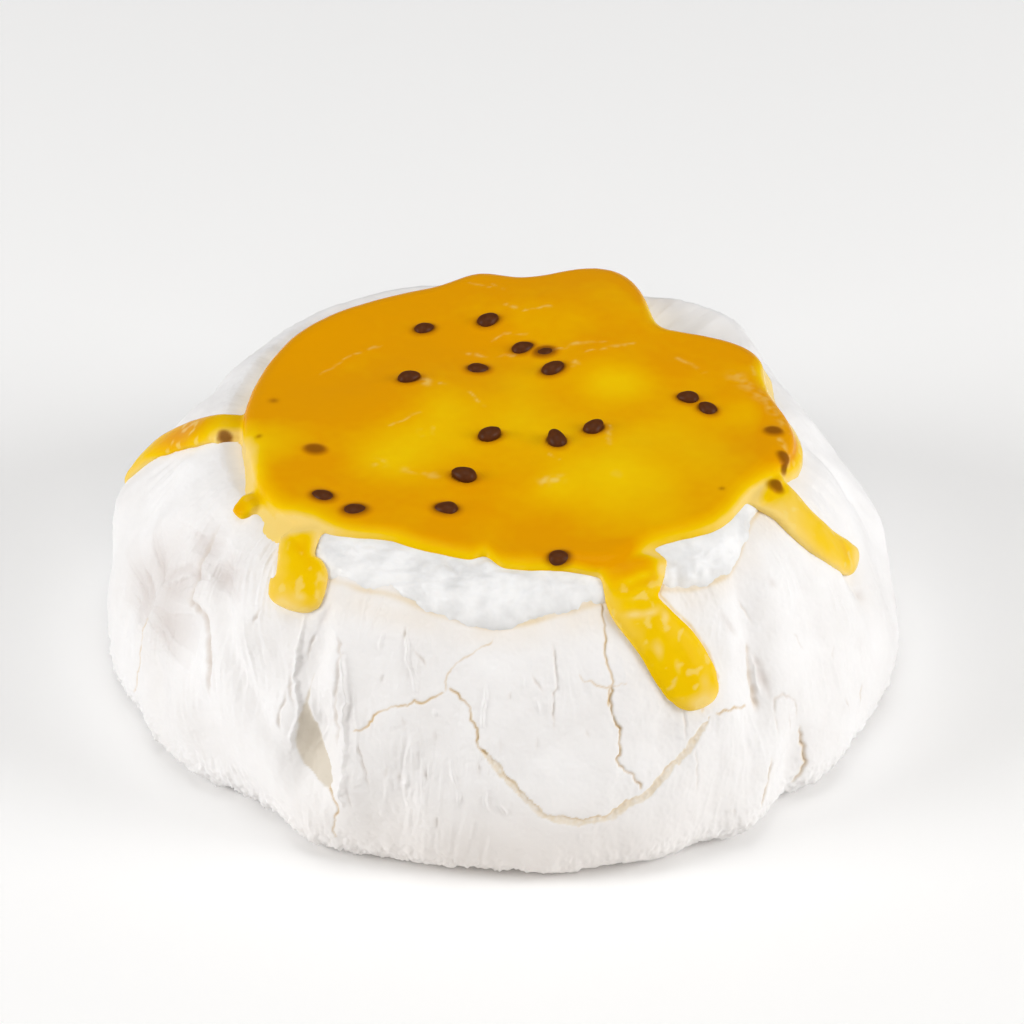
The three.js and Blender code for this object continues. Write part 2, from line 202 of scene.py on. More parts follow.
# Broad forms of the wall: angle, spread, height, band, out and lean, as in the solid.
wallForms = [
    (171, 15, 34, 14, 5, 0), (28, 14, 46, 12, -2, 0), (-131, 10, 4, 16, -5.5, 0),
    (-93, 12, 3, 9, -1.6, 0), (-76, 12, 4, 12, 1.6, 0), (-157, 16, 16, 18, -2.2, 0),
    (40, 9, 60, 7, 2.5, 0), (8, 14, 26, 12, 1.5, 0), (-54, 6, 4, 11, 2.8, 0),
    (-152, 4, 14, 14, -2.4, -0.4), (-139, 3.2, 41, 15, -2.4, -0.85),
    (-149, 3.5, 34, 14, -1.2, -0.7), (-118.5, 3.6, 27, 10, -4.2, 0.1),
    (-121, 3, 46, 9, -2, 0.1), (-115.6, 2.6, 35, 24, 1.7, -0.2), (-78, 18, 20, 17, 1.6, 0),
    (-53.5, 5, 44, 11, -1.3, 0.1), (-45, 3, 45, 10, -1.8, 0.13), (-48, 2.6, 33, 8, -1.8, 0.16),
    (-43.5, 3, 13, 10, -3, 0.2),
]
rimLobes = [(50, 15, 8), (122, 28, 4)]    # angle, spread and how far out, as all lobes
backFurrows = {
    "first": -20,
    "count": 11,
    "step": 18,
    "stray": 0.6,                         # share of a step that it can be off
    "spread": (3.2, 0.8, 0.7),            # a size, its least share and how much more, as the next two
    "band": (16, 0.7, 0.6),
    "out": (-2.2, 0.5, 1),
    "heights": (14, 32),                  # the lowest, and how much more
    "lean": 0.6,
}
flutes = [(13, 0.5, 0.5, 40), (22, 0.4, -0.4, 10)]    # count, depth, lean and phase


def backFurrow(n):

    def varied(name, at):
        size, least, more = backFurrows[name]
        return size * (least + more * wander(at))

    low, higher = backFurrows["heights"]
    return (
        backFurrows["first"] + backFurrows["step"] * (n + backFurrows["stray"] * wander(n)),
        varied("spread", n + 20), low + higher * wander(n + 40), varied("band", n + 60),
        varied("out", n + 80), backFurrows["lean"] * (wander(n + 100) - 0.5))


wallForms += [backFurrow(n) for n in range(backFurrows["count"])]


def wallRelief(angle, height):
    total = 0
    for at, spread, level, band, out, lean in wallForms:
        rise = height - level
        total = total + out * smooth(turnTo(angle, at + lean * rise), spread) * smooth(rise, band)
    fluted = sum(
        depth * np.sin(np.radians(count * (angle + phase + lean * height)))
        for count, depth, lean, phase in flutes)
    return total + fluted * ramp(shell["rimHeight"] - height, 0, shell["wallFade"])


def rimRadius(angle):
    return shell["rimRadius"] + lobed(rimLobes, angle)


def wallRadius(angle, height):
    share = (height - shell["bellyHeight"]) / (shell["rimHeight"] - shell["bellyHeight"])
    sine = np.clip(share, 0, 1) ** (1 / shell["wallPower"])
    across = (1 - sine * sine) ** (shell["wallPower"] / 2)
    rim = rimRadius(angle)
    return rim + (shell["bellyRadius"] - rim) * across + wallRelief(angle, height)


cream = {
    "radius": 63,                         # outline at its lower edge, before the lobes
    "roll": 9,                            # width of the rounded edge
    "rollPower": 0.8,                     # 1 is an ellipse, less is squarer
    "topHeight": 65,
    "edgeHeight": 54,                     # where the outline is widest
    "bottomHeight": 52,                   # its foot, bedded in the shell
    "tuck": 3,                            # how far the foot is set in
    "columns": 640,
    "footRows": 6,
    "rollRows": 56,
    "topRows": 44,
    "lifted": 0.75,                       # share of the shallows that are humps of the cream
    "liftFrom": (58, 64),                 # heights over which they come in
    "bareFrom": (-0.5, 3),                # distance past the sauce over which the froth comes in
    "frothFrom": (54, 57.5),              # heights over which it does
    "covered": 0.1,                       # share of it elsewhere
    "sunk": 0.25,                         # so that the froth doesn't swell the whole
    "upright": 0.75,                      # less than 1 makes the froth taller than wide
}
creamLobes = [
    (98, 6, 2), (69, 11, 7), (46, 9, -5), (25, 11, 3), (-14, 15, 4), (-46, 13, 4.5),
    (-85, 62, 8), (-92, 13, 2.2), (-125, 12, 2.5), (180, 35, -3),
]
frontDroop = {"angle": -85, "spread": 45, "roll": 10}    # the edge is broader at the front

# Mounds and hollows of the top: plan position, height and spread.
mounds = [
    (18, 46, 2.6, 20), (-22, 6, 1.2, 17), (24, 22, 1.3, 12), (22, -20, 0.9, 14),
    (0, 27, -1.2, 13), (-45, 20, -1.4, 18), (55, -6, -1, 14), (0, -50, -1.6, 18),
]

# Where the cream comes up under the sauce and thins it: plan position, amount and spread.
shallows = [
    (-21, -14, 0.6, 12), (-14, 2, 0.6, 10), (-27, -21, 0.5, 9), (27, 12, 0.9, 8),
    (25, -27, 0.55, 13), (6, 16, 0.35, 9), (33, -43, 0.35, 12), (8, 38, 0.3, 9),
    (-58, -12, 0.7, 10), (-62, 14, 0.4, 8), (64, 22, 0.7, 7), (-49, -44, 0.5, 9),
    (58, -46, 0.6, 9), (64, 4, 0.7, 7), (12, -31, 0.4, 5), (4, -4, 0.45, 12), (42, -8, 0.3, 16),
    (10, -16, 0.25, 30), (38, -24, 0.25, 18), (32, 44, 0.3, 14),
]


def hills(x, y, places):
    return sum(rise * smooth(np.hypot(x - a, y - b), spread) for a, b, rise, spread in places)


def topRelief(x, y):
    return hills(x, y, mounds)


def creamLift(x, y):                      # the humps that only the sauce over them shows
    return cream["lifted"] * hills(x, y, shallows)


def creamEdge(angle):
    return cream["radius"] + lobed(creamLobes, angle)


def creamRoll(angle):
    droop = smooth(turnTo(angle, frontDroop["angle"]), frontDroop["spread"])
    return cream["roll"] + frontDroop["roll"] * droop


def creamRadius(angle, height):           # plan radius of the cream's rolled edge at a height
    edge = creamEdge(angle)
    at = around(angle, edge, 0)
    full = cream["topHeight"] + topRelief(at[..., 0], at[..., 1]) - cream["edgeHeight"]
    sine = np.clip((height - cream["edgeHeight"]) / full, 0, 1) ** (1 / cream["rollPower"])
    return edge - creamRoll(angle) * (1 - np.sqrt(1 - sine ** 2) ** cream["rollPower"])


def skinRadius(angle, height):            # of the outside, cream or shell
    onCream = creamRadius(angle, height)
    onWall = np.maximum(onCream, wallRadius(angle, height))
    return np.where(height < shell["rimHeight"], onWall, onCream)


# Drips of sauce from the pool downwards: angle, height and half-width of each stop.
drips = {
    "frontRight": [
        (-62.6, 64.9, 6.5), (-63.6, 63.7, 8.6), (-64.2, 61.6, 7.6), (-65.2, 59.2, 6.6),
        (-65.4, 57, 6.2), (-63.4, 52.6, 6.6), (-61.4, 48, 7.4), (-59.9, 42.8, 7.4),
        (-58.9, 38.6, 6.2), (-58.6, 34.9, 0)],
    "frontLeft": [
        (-137, 64, 5.6), (-134.8, 61.8, 5), (-132.6, 59.4, 5), (-130.4, 57.6, 7.2),
        (-129.8, 55.4, 7.8), (-129.8, 53.4, 6.4), (-129.8, 51.8, 0)],
    "right": [
        (-22.5, 64, 8.2), (-22.2, 61.6, 7.4), (-22, 58.8, 6.4), (-22, 55.8, 6), (-21.3, 52.4, 5.7),
        (-19.4, 47.6, 5.5), (-16.8, 43, 5.3), (-14.2, 39, 4.4), (-12.6, 35.8, 0)],
    "backLeft": [
        (179, 62.8, 5.5), (178.4, 61.2, 5), (176.8, 59.4, 4.6), (172, 52.8, 4.4),
        (168.7, 45.5, 3.9), (168, 38.5, 3), (168, 34, 0)],
    "left": [(-153.8, 62.8, 2.6), (-153, 61.4, 3.3), (-152.6, 60.4, 3), (-152.2, 59.2, 0)],
}


# How each kind of mark is cut: width and depth in millimetres (a raised one is negative), how
# much the crust stands higher on one side, how far its line wanders, the length over which it
# ends, how brown it is, and how much painted shade greys it.
markParts = ("width", "depth", "step", "jitter", "taper", "tint", "shade")
markKinds = {
    "crack": (0.24, 0.32, 0.16, 0.5, 1, 0.9, 0),
    "fault": (0.26, 0.8, 0.22, 0.5, 1, 1, 0),
    "hairline": (0.2, 0.12, 0.05, 0.4, 1, 0.5, 0),
    "crease": (0.3, 0.4, 0.25, 0.4, 3, 0.12, 0.3),
    "dent": (0.4, 0.32, 0.2, 0.25, 4, 0.05, 0.12),
    "hollow": (1.0, 0.4, 0, 0.2, 4, 0.03, 0.5),
    "valley": (5.4, 1.5, 0, 0.3, 9, 0, 0.75),
    "fold": (0.8, 0.8, 0.3, 0.35, 5, 0.12, 0.6),
    "gouge": (0.6, 0.75, 0.25, 0.12, 2, 0.3, 0.4),
    "ridge": (0.34, -0.6, 0.1, 0.35, 3, 0, 0),
    "seam": (0.45, -0.9, 0.35, 0.4, 5, 0, 0),
    "cleft": (0.4, 0.85, 0.4, 0.4, 4, 0.55, 0.2),
}
# Marks on the wall: the paths that each kind takes, in (angle, height).
marks = {
    "crack": [
        [(-71.2, 59.1), (-72.2, 50.9), (-72.4, 47.4), (-72.8, 43.4), (-73, 40)],
        [(-112.9, 32.8), (-111.3, 34.6), (-109.9, 37.7), (-107.4, 39.8), (-104.9, 41.5),
         (-102, 42.2), (-99.1, 43.9)],
        [(-98.8, 45.1), (-97.2, 44), (-95.3, 41.4), (-94.8, 39), (-93.7, 36.7), (-93.3, 33.5),
         (-92.2, 31.6)],
        [(-56.6, 32.5), (-54.6, 32.3), (-52.5, 31.4), (-50.3, 30.2)],
        [(-115.7, 19.7), (-114.9, 17.7), (-113.8, 15.7), (-113.9, 12.9), (-114.4, 7)]],
    "fault": [
        [(-72.7, 44.5), (-73, 41), (-73, 38.7), (-72.2, 36.3), (-72.5, 33.5), (-72.7, 32),
         (-73.5, 30.2), (-72.1, 26.4), (-69.9, 21.9)]],
    "hairline": [
        [(-77.7, 47.4), (-76.7, 45.6), (-73.5, 44.3), (-69.6, 44.4)],
        [(-99.1, 43.9), (-99.3, 46.2), (-98.5, 48.9), (-96.9, 51), (-94.2, 52.7), (-91.6, 54.9)],
        [(-161.8, 28.7), (-160.4, 20.2), (-160.3, 12.7), (-161.1, 7.3)]],
    "crease": [
        [(-119.3, 51.7), (-116.8, 48.3), (-115.8, 37.8), (-115, 33.1), (-115.3, 27.7)],
        [(-125.6, 40.7), (-124.5, 36.6), (-123.4, 33.3)],
        [(-125.2, 37.4), (-125.2, 31.4), (-124.8, 27)],
        [(-112.3, 31.7), (-111.2, 28.4), (-110.1, 25.3), (-109.2, 21.4)],
        [(-81.5, 54.5), (-81.1, 51.1), (-81.1, 47.5), (-81.9, 43.5), (-82.2, 40), (-82.5, 36.5)],
        [(-85.6, 49.1), (-84.2, 46.9), (-83.4, 43.8)],
        [(-105.4, 52), (-103.4, 49.9), (-102.2, 48.3)],
        [(-107.7, 55.4), (-107.2, 52.1)],
        [(-134.5, 50.8), (-135.4, 47.9), (-134.8, 45.5)],
        [(-123.4, 50.3), (-124, 47.1), (-123.7, 43.1)],
        [(-46.3, 27.8), (-46.3, 24.1), (-46.7, 21.4)],
        [(-43.2, 25.7), (-43.4, 18.3)],
        [(-46.2, 26), (-45, 29.7), (-43.7, 30), (-42.4, 28.8), (-41.5, 26.7), (-41.1, 21)],
        [(-60.6, 27.9), (-61.2, 22.3), (-61.8, 16.9)],
        [(-61.5, 36.5), (-61.7, 32.3), (-62.6, 28.8)],
        [(-37.4, 40.8), (-36.7, 38.5), (-36.3, 34.1)],
        [(-44.4, 51.5), (-43.6, 48), (-43.6, 43.9)],
        [(-31.1, 18.6), (-29, 12.6)]],
    "dent": [
        [(-105.5, 39.3), (-104.9, 35.4)], [(-105, 27.1), (-104.6, 23.5)],
        [(-84.8, 36.7), (-84.8, 32.1)], [(-93.7, 31.3), (-93.2, 26.5)],
        [(-113, 22.7), (-112.1, 18.1), (-111.3, 15)], [(-77.5, 37.1), (-77, 34.4)],
        [(-106.8, 28), (-107, 23.8)], [(-90.3, 36), (-90.2, 31.9)],
        [(-100.4, 36.5), (-99.9, 33.5)], [(-101.3, 29), (-100.6, 24.5)],
        [(-88.6, 45.5), (-88.9, 43)], [(-109.5, 46.5), (-109.8, 43.8)],
        [(-99.3, 18.5), (-98.9, 14.5)], [(-56.2, 11), (-56.8, 8.9)],
        [(-29.3, 31.5), (-30.8, 26.7)]],
    "hollow": [
        [(-121.8, 56.8), (-122.1, 54.8), (-122.6, 52.4), (-123.4, 49.8)],
        [(-37.5, 52.9), (-36.6, 49)],
        [(-45.4, 40.4), (-45.7, 36.4), (-45.9, 32.8), (-46.1, 28.6)], [(-14.2, 32), (-16.4, 29)],
        [(-50.3, 51.7), (-48.7, 47.5), (-47.3, 43.9)]],
    "valley": [
        [(-156.5, 58), (-155, 53), (-153.8, 47.3), (-153.1, 43.9), (-150.5, 40)],
        [(-165.5, 20), (-166.5, 28), (-165, 36), (-161.5, 43), (-158.1, 39.5), (-157.2, 35.8),
         (-156.3, 31.9), (-156, 22)],
        [(-148, 57), (-146.1, 51.1), (-146.4, 44)]],
    "ridge": [
        [(-107, 55.8), (-106.7, 52.8), (-106.2, 49.8), (-104.7, 46.5), (-103.6, 42.7)],
        [(-97.7, 31.2), (-97, 27.4), (-96.3, 23.3), (-95.8, 19.8)],
        [(-92.6, 47.2), (-92.8, 43.4), (-93, 38.7), (-92.7, 35.7)],
        [(-90.2, 22.9), (-89.6, 19.3), (-89.4, 17.5)], [(-86.3, 48.8), (-87, 45.5)],
        [(-84.9, 44.7), (-84.4, 42.3), (-84.1, 39.9)], [(-100.9, 41.3), (-100.4, 38.6)],
        [(-103.7, 26.9), (-103.9, 21.8)], [(-92.4, 26.1), (-92.5, 21.7), (-91.7, 18)],
        [(-110.9, 54.5), (-110.6, 50)], [(-46.1, 39.5), (-46.7, 35), (-47.2, 30.5)]],
    "seam": [
        [(-119.5, 52.2), (-117.1, 49.2), (-115.6, 44.1), (-114.8, 38.3), (-114.1, 32.7),
         (-113.5, 26.8), (-113.3, 20.6), (-112.9, 14)],
        [(-126.5, 52.7), (-125.2, 45.3), (-124.4, 40), (-122.8, 34.8), (-123, 28.1), (-122.9, 22)]],
    "fold": [
        [(-155.5, 57), (-154.5, 51.3), (-153.7, 47.3), (-153.1, 43.9), (-152.1, 40.6), (-147.8, 40.8),
         (-145.6, 39.8), (-143.1, 37.4), (-141.6, 35.2), (-140.5, 30.7), (-139.7, 25)]],
    "gouge": [
        [(-45.9, 42.3), (-46.9, 38.7), (-47.7, 35), (-48.4, 31.5), (-48.8, 27.8)],
        [(-47.5, 34.5), (-48.1, 31), (-48.3, 27.9)]],
    "cleft": [
        [(-23.4, 15.6), (-24.4, 13.4), (-25.2, 10.4)],
        [(-41.1, 20.4), (-41, 14.1), (-41.3, 10), (-43.8, 4.6)],
        [(-48.3, 18.5), (-49.6, 13), (-50.8, 10.4), (-52.3, 7)]],
}
# A band where the crust has torn off between two edges.
scar = {
    "path": [
        (-93, 33), (-91.5, 31), (-89.4, 26.9), (-87.1, 22.7), (-84.3, 19), (-80.8, 17.1),
        (-75.7, 16.9), (-72.9, 18.7), (-69.2, 20.7), (-65.6, 24.2), (-61.4, 28.3), (-57.6, 32.4)],
    "depth": 0.3,
    "step": 0.2,                          # the upper edge stands this proud
    "stepSpread": 5,
    "jitter": 0.4,
    "ends": (0.04, 0.05),                 # shares of its length over which it starts and ends
    "endWidth": 0.35,
    "widths": (0.85, 0.6, 3),             # half-width, how much it varies, and over what length
    "torn": (0.9, 0.3),                   # size of its roughness, and how far that moves its edge
    "edge": (0.75, 1.1),                  # shares of the half-width between which it ends
    "bed": (0.9, 0.8),                    # share of the depth, and how much the roughness adds
    "tone": (0.75, 0.35, 0.3, 6),         # strength, what roughness and patches add, and their size
    "browned": (0.55, 0.3, 5, -0.2, 0.5),     # its lower edge: strength, width and patches
}
scoop = {                                 # a hollow with sharp edges, from each edge's angles
    "heights": (18.2, 20.5, 23.2, 25.4, 31.7, 35.6, 41.5),
    "left": (-117.6, -121.0, -122.1, -122.5, -122.4, -122.0, -121.6),
    "right": (-115.6, -115.0, -115.8, -118.2, -120.1, -121.2, -121.5),
    "depth": 0.4,
    "edge": (-0.2, 0.6),
    "tintEdge": (-0.1, 0.6),
    "waver": (0.3, 1.5),                  # how far its edge wavers, and over what length
    "fall": (0.3, 0.9),                   # share of the depth at its left, and what its right adds
    "fallWidth": (0.4, 4),
    "deepens": 14,                        # below its top, over this height
}
spatula = {
    # Marks: across and along the stroke, depth, its share where the crust is smooth, and what
    # rough crust adds.
    "broad": (9, 60, 0.45),
    "stroke": (3.1, 26, 0.24, 0.25, 1.0),
    "bristle": (1.35, 9, 0.17, 0.15, 1.0),
    "scratch": (0.75, 4.5, 0.09, 0.1, 1.2),
    "chatter": (2.2, 6, 0.352, 0.2, 0.8),     # short dents
    "chatterFrom": 0.25,
    "crest": {"height": 0.36, "narrow": 2.2, "power": 7},     # thin raised lines
    "leans": ((0.28, 2, 20), (0.12, 5, 75)),  # of the strokes: how much, times round, and phase
    "follow": 0.6,
    "sway": (26, 2.6),                    # size and how far, in degrees
    "rough": (17, -0.35, 0.45),           # patches of rough crust: size, and where they start and end
    "roughest": 1.3,
    "radius": 90,                         # of the wall, about
    "lump": (11, 0.4),                    # size and depth, as the next two
    "dimple": (4.2, 0.2),
    "grain": (0.9, 0.09),
}
calmRear = {"share": 0.6, "heights": (46, 58), "angles": (60, 85)}    # smoother behind the cream
# Where the strokes show least and most: angle, spread, height, band and share.
pressing = [
    (-80, 14, 30, 18, -0.7), (-60, 10, 26, 15, -0.6), (-36, 14, 34, 20, -0.6),
    (-140, 12, 22, 16, -0.1), (-102, 9, 24, 12, 0.15), (-48, 10, 52, 9, -0.7),
    (-72, 16, 8, 8, -0.4), (-42, 16, 13, 12, -0.5), (-130, 9, 36, 14, 0.4),
]
lipCrumb = {                              # crumbs: size, depth, gain and how far they are sunk
    "height": 3.5,
    "band": 4.5,
    "calm": (-85, 24, 0.52),              # angle and spread of the calmer front, and how much calmer
    "coarse": (3.4, 0.8, 1.6, 0.6),
    "fine": (1.25, 0.55, 1.8, 0.7),
}
backCracks = {                            # pairs are the least and the most
    "count": 7, "first": 28, "step": 19, "stray": (0, 0.5), "start": (14, 40), "lean": 0.5,
    "bend": 0.5, "across": 1.6, "stride": (3.85, 6.05), "strides": (4.2, 8.4), "top": 57}
backMarks = {
    "count": 26, "kinds": ("crease", "ridge", "dent", "seam"), "angles": (22, 158),
    "start": (8, 48), "length": (8, 20), "lean": 1.5, "top": 58}
markShape = {
    "reach": 9,                           # no mark is felt further off
    "stepSpread": 3.5,
    "opening": (0.5, 0.7),                # it opens and closes: the least, and how much more
    "endWidth": 0.6,                      # share of its width at its ends
    "tintSpread": 1.1,
    "shadeSpread": 1.2,
    "rearAngle": 75,                      # the mesh is coarser beyond this, and its marks wider
    "rearWidth": 1.5,
}
wobbling = {                              # of a mark's line
    "step": 0.55,
    "fine": 0.2,
    "swings": ((3.2, 0.6), (1.3, 0.5)),   # length and share
}
syrup = {                                 # weeps from under the cream and stains the crust
    "heights": (50, 57),
    "angles": (100, 25),                  # how far round from the front, and over what it fades
    "patches": (0.55, 0.45, 9),           # strength, how much it varies, and over what length
    "weep": (0.15, 0.45),                 # distance from the cream and width
    "soak": 5,
}
wetLine = {                               # syrup beside a drip, on its right
    "drip": "frontRight", "gap": 0.65, "width": 0.4, "reach": 12, "otherSide": 0.15,
    "strength": 0.8, "patches": (1.6, -1.2, 0.1)}     # size, and from none to all
warmBounceShape = {"height": 30, "fade": 24, "spread": 30}    # painted warm bounce light from below, towards the foot at the front
degreeLong = {"rim": 1.2, "middle": 1.5, "lip": 1.7}   # millimetres of wall to a degree
meringueMasks = ("crack", "shade", "scar", "hollow", "weep", "soak", "paintedBounce")


def between(random, pair):
    return pair[0] + (pair[1] - pair[0]) * random.random()


def roughPath(path, jitter, seedNumber):
    # A path in (angle, height) brought to short, even steps that wander.
    random = np.random.default_rng(seedNumber)
    stops = np.array(path, float)
    degree = degreeLong["middle"]
    spans = np.hypot(np.diff(stops[:, 0]) * degree, np.diff(stops[:, 1]))
    run = np.concatenate([[0], np.cumsum(spans)])
    places = np.linspace(0, run[-1], max(4, int(run[-1] / wobbling["step"])))
    fine = np.stack([np.interp(places, run, stops[:, n]) for n in (0, 1)], axis=1)
    wobble = wobbling["fine"] * random.normal(size=len(places))
    for step, share in wobbling["swings"]:
        knots = np.arange(0, run[-1] + 2 * step, step)
        wobble += share * np.interp(places, knots, random.normal(size=len(knots)))
    wobble *= jitter
    wobble[[0, -1]] = 0
    heading = np.gradient(fine * [degree, 1], axis=0)
    heading /= np.linalg.norm(heading, axis=1)[:, None]
    fine[:, 0] += -heading[:, 1] * wobble / degree
    fine[:, 1] += heading[:, 0] * wobble
    return fine


def pathField(angle, run, radius, path, toRun, reach):
    # Distance to the path, which side of it, and how far along: over the points within reach.
    line = np.array(path, float)
    runs = toRun(line[:, 1])
    centre = line[:, 0].mean()
    apart = np.abs(turnTo(angle, centre)) * degreeLong["rim"]
    near = (run > runs.min() - reach) & (run < runs.max() + reach)
    near &= apart < np.abs(turnTo(line[:, 0], centre)).max() * degreeLong["lip"] + reach
    side = np.radians(turnTo(angle[near], centre)) * radius[near]
    up = run[near]
    lineRadius = np.interp(runs, *toRun.profile)
    lineSide = np.radians(turnTo(line[:, 0], centre)) * lineRadius
    best = np.full(len(side), 1e9)
    hand = np.zeros(len(side))
    along = np.zeros(len(side))
    total = len(line) - 1
    for n in range(total):
        a = np.array([lineSide[n], runs[n]])
        b = np.array([lineSide[n + 1], runs[n + 1]])
        span = b - a
        share = ((side - a[0]) * span[0] + (up - a[1]) * span[1]) / max(span @ span, 1e-9)
        share = np.clip(share, 0, 1)
        offSide = side - a[0] - share * span[0]
        offUp = up - a[1] - share * span[1]
        distance = np.hypot(offSide, offUp)
        closer = distance < best
        best[closer] = distance[closer]
        hand[closer] = np.sign(offSide * span[1] - offUp * span[0])[closer]
        along[closer] = ((n + share) / total)[closer]
    return near, best, hand, along


class RunTable:                           # height on the wall to length along its profile
    def __init__(self, heights, runs, radii):
        self.heights, self.runs = heights, runs
        self.profile = (runs, radii)

    def __call__(self, height):
        return np.interp(height, self.heights, self.runs)


def frontColumns(count):                  # angles that stand closer together at the front
    fine = np.linspace(-270, 90, 3601)
    before = shell["frontSpread"] + shell["frontFade"] - np.abs(turnTo(fine, -90))
    density = 1 + (shell["frontDensity"] - 1) * ramp(before, 0, shell["frontFade"])
    total = np.concatenate([[0], np.cumsum((density[1:] + density[:-1]) / 2)])
    return np.interp(np.arange(count) / count * total[-1], total, fine)


def evenRises(rows):                      # turns up the wall that stand evenly along its profile
    rise = np.radians(np.linspace(0, 90, 2001))
    reach = shell["bellyRadius"] - shell["rimRadius"]
    tall = shell["rimHeight"] - shell["bellyHeight"]
    radius = shell["rimRadius"] + reach * np.cos(rise) ** shell["wallPower"]
    height = shell["bellyHeight"] + tall * np.sin(rise) ** shell["wallPower"]
    run = np.concatenate([[0], np.cumsum(np.hypot(np.diff(radius), np.diff(height)))])
    even = np.linspace(0, run[-1], rows + 1)
    return np.interp(even, run, rise), even, RunTable(height, run, radius)


def strokeRelief(turn, run, rings):
    leaning = sum(
        size * np.sin(np.radians(turn * times + phase)) for size, times, phase in spatula["leans"])
    cell, sway = spatula["sway"]
    swung = turn + leaning * run * spatula["follow"]
    swung = swung + sway * softNoise(around(turn, spatula["radius"], run), cell, 3)

    def strokes(name, seedNumber):
        across, along = spatula[name][:2]
        return softNoise(around(swung, spatula["radius"] / across, run / along), 1, seedNumber)

    level = rings[..., 2]
    cell, low, high = spatula["rough"]
    rough = ramp(softNoise(rings, cell, 21), low, high)
    for at, spread, rise, band, more in pressing:
        rough = rough + more * smooth(turnTo(turn, at), spread) * smooth(level - rise, band)
    behind = ramp(level, *calmRear["heights"]) * ramp(np.abs(turnTo(turn, -90)), *calmRear["angles"])
    smoothed = 1 - calmRear["share"] * behind
    rough = np.clip(rough, 0, spatula["roughest"]) * smoothed
    relief = spatula["broad"][2] * strokes("broad", 4) * smoothed
    for name, seedNumber in (("stroke", 5), ("bristle", 6), ("scratch", 7)):
        depth, least, more = spatula[name][2:]
        relief += depth * strokes(name, seedNumber) * (least + more * rough)
    depth, least, more = spatula["chatter"][2:]
    chips = np.clip(strokes("chatter", 14) - spatula["chatterFrom"], 0, 1)
    relief -= depth * chips * (least + more * rough)
    crest = spatula["crest"]
    lines = np.clip(1 - crest["narrow"] * np.abs(strokes("stroke", 8)), 0, 1)
    relief += crest["height"] * lines ** crest["power"] * rough
    for name, seedNumber in (("lump", 9), ("dimple", 10), ("grain", 11)):
        cell, depth = spatula[name]
        relief += depth * softNoise(rings, cell, seedNumber)

    # The lip is crumbly, most of all left and right of the front.
    at, spread, calmer = lipCrumb["calm"]
    ragged = smooth(level - lipCrumb["height"], lipCrumb["band"])
    ragged = ragged * (1 - calmer * smooth(turnTo(turn, at), spread))
    for name, seedNumber in (("coarse", 12), ("fine", 13)):
        cell, depth, gain, sunk = lipCrumb[name]
        relief += ragged * depth * (gain * np.abs(softNoise(rings, cell, seedNumber)) - sunk)
    return relief


def backPaths():                          # the rest of the wall is cracked and worked in the same way
    random = np.random.default_rng(40)
    found = []
    for n in range(backCracks["count"]):
        at = backCracks["first"] + backCracks["step"] * (n + between(random, backCracks["stray"]))
        stop = np.array([at, between(random, backCracks["start"])])
        heading = random.choice([-1, 1]) * backCracks["lean"]
        path = [tuple(stop)]
        for _ in range(int(between(random, backCracks["strides"]))):
            heading += random.normal() * backCracks["bend"]
            stop = stop + [heading * backCracks["across"], between(random, backCracks["stride"])]
            if stop[1] > backCracks["top"]:
                break
            path.append(tuple(stop))
        if len(path) > 2:
            found.append(("crack", path))
    for n in range(backMarks["count"]):
        at = between(random, backMarks["angles"])
        low = between(random, backMarks["start"])
        long = between(random, backMarks["length"])
        lean = random.normal() * backMarks["lean"]
        kind = backMarks["kinds"][n % len(backMarks["kinds"])]
        found.append((kind, [(at, low), (at + lean, min(low + long, backMarks["top"]))]))
    return found


def cutMarks(turn, run, radius, toRun, relief, masks):
    allMarks = [(kind, path) for kind, paths in marks.items() for path in paths] + backPaths()
    for n, (kind, path) in enumerate(allMarks):
        cut = dict(zip(markParts, markKinds[kind]))
        path = roughPath(path, cut["jitter"], 60 + n)
        near, away, hand, along = pathField(turn, run, radius, path, toRun, markShape["reach"])
        taper = min(cut["taper"] / (wobbling["step"] * len(path)), 0.5)
        ends = ramp(along, 0, taper) * ramp(1 - along, 0, taper)
        least, more = markShape["opening"]
        knots = np.random.default_rng(300 + n).random(3 + len(path) // 3)
        opening = np.interp(along * (len(knots) - 1), np.arange(len(knots)), knots)
        ends = ends * (least + more * opening)
        rear = abs(turnTo(path[0][0], -90)) > markShape["rearAngle"]
        width = cut["width"] * (markShape["rearWidth"] if rear else 1)
        width = width * (markShape["endWidth"] + (1 - markShape["endWidth"]) * ends)
        relief[near] -= cut["depth"] * ends * smooth(away, width)
        above = np.where(hand > 0, smooth(away, markShape["stepSpread"]), 0)
        relief[near] += cut["step"] * ends * above
        # Each mark browns the crust, and greys it with painted shade.
        for name, part in (("crack", "tint"), ("shade", "shade")):
            mark = cut[part] * ends * smooth(away, width * markShape[part + "Spread"])
            masks[name][near] = np.maximum(masks[name][near], mark)


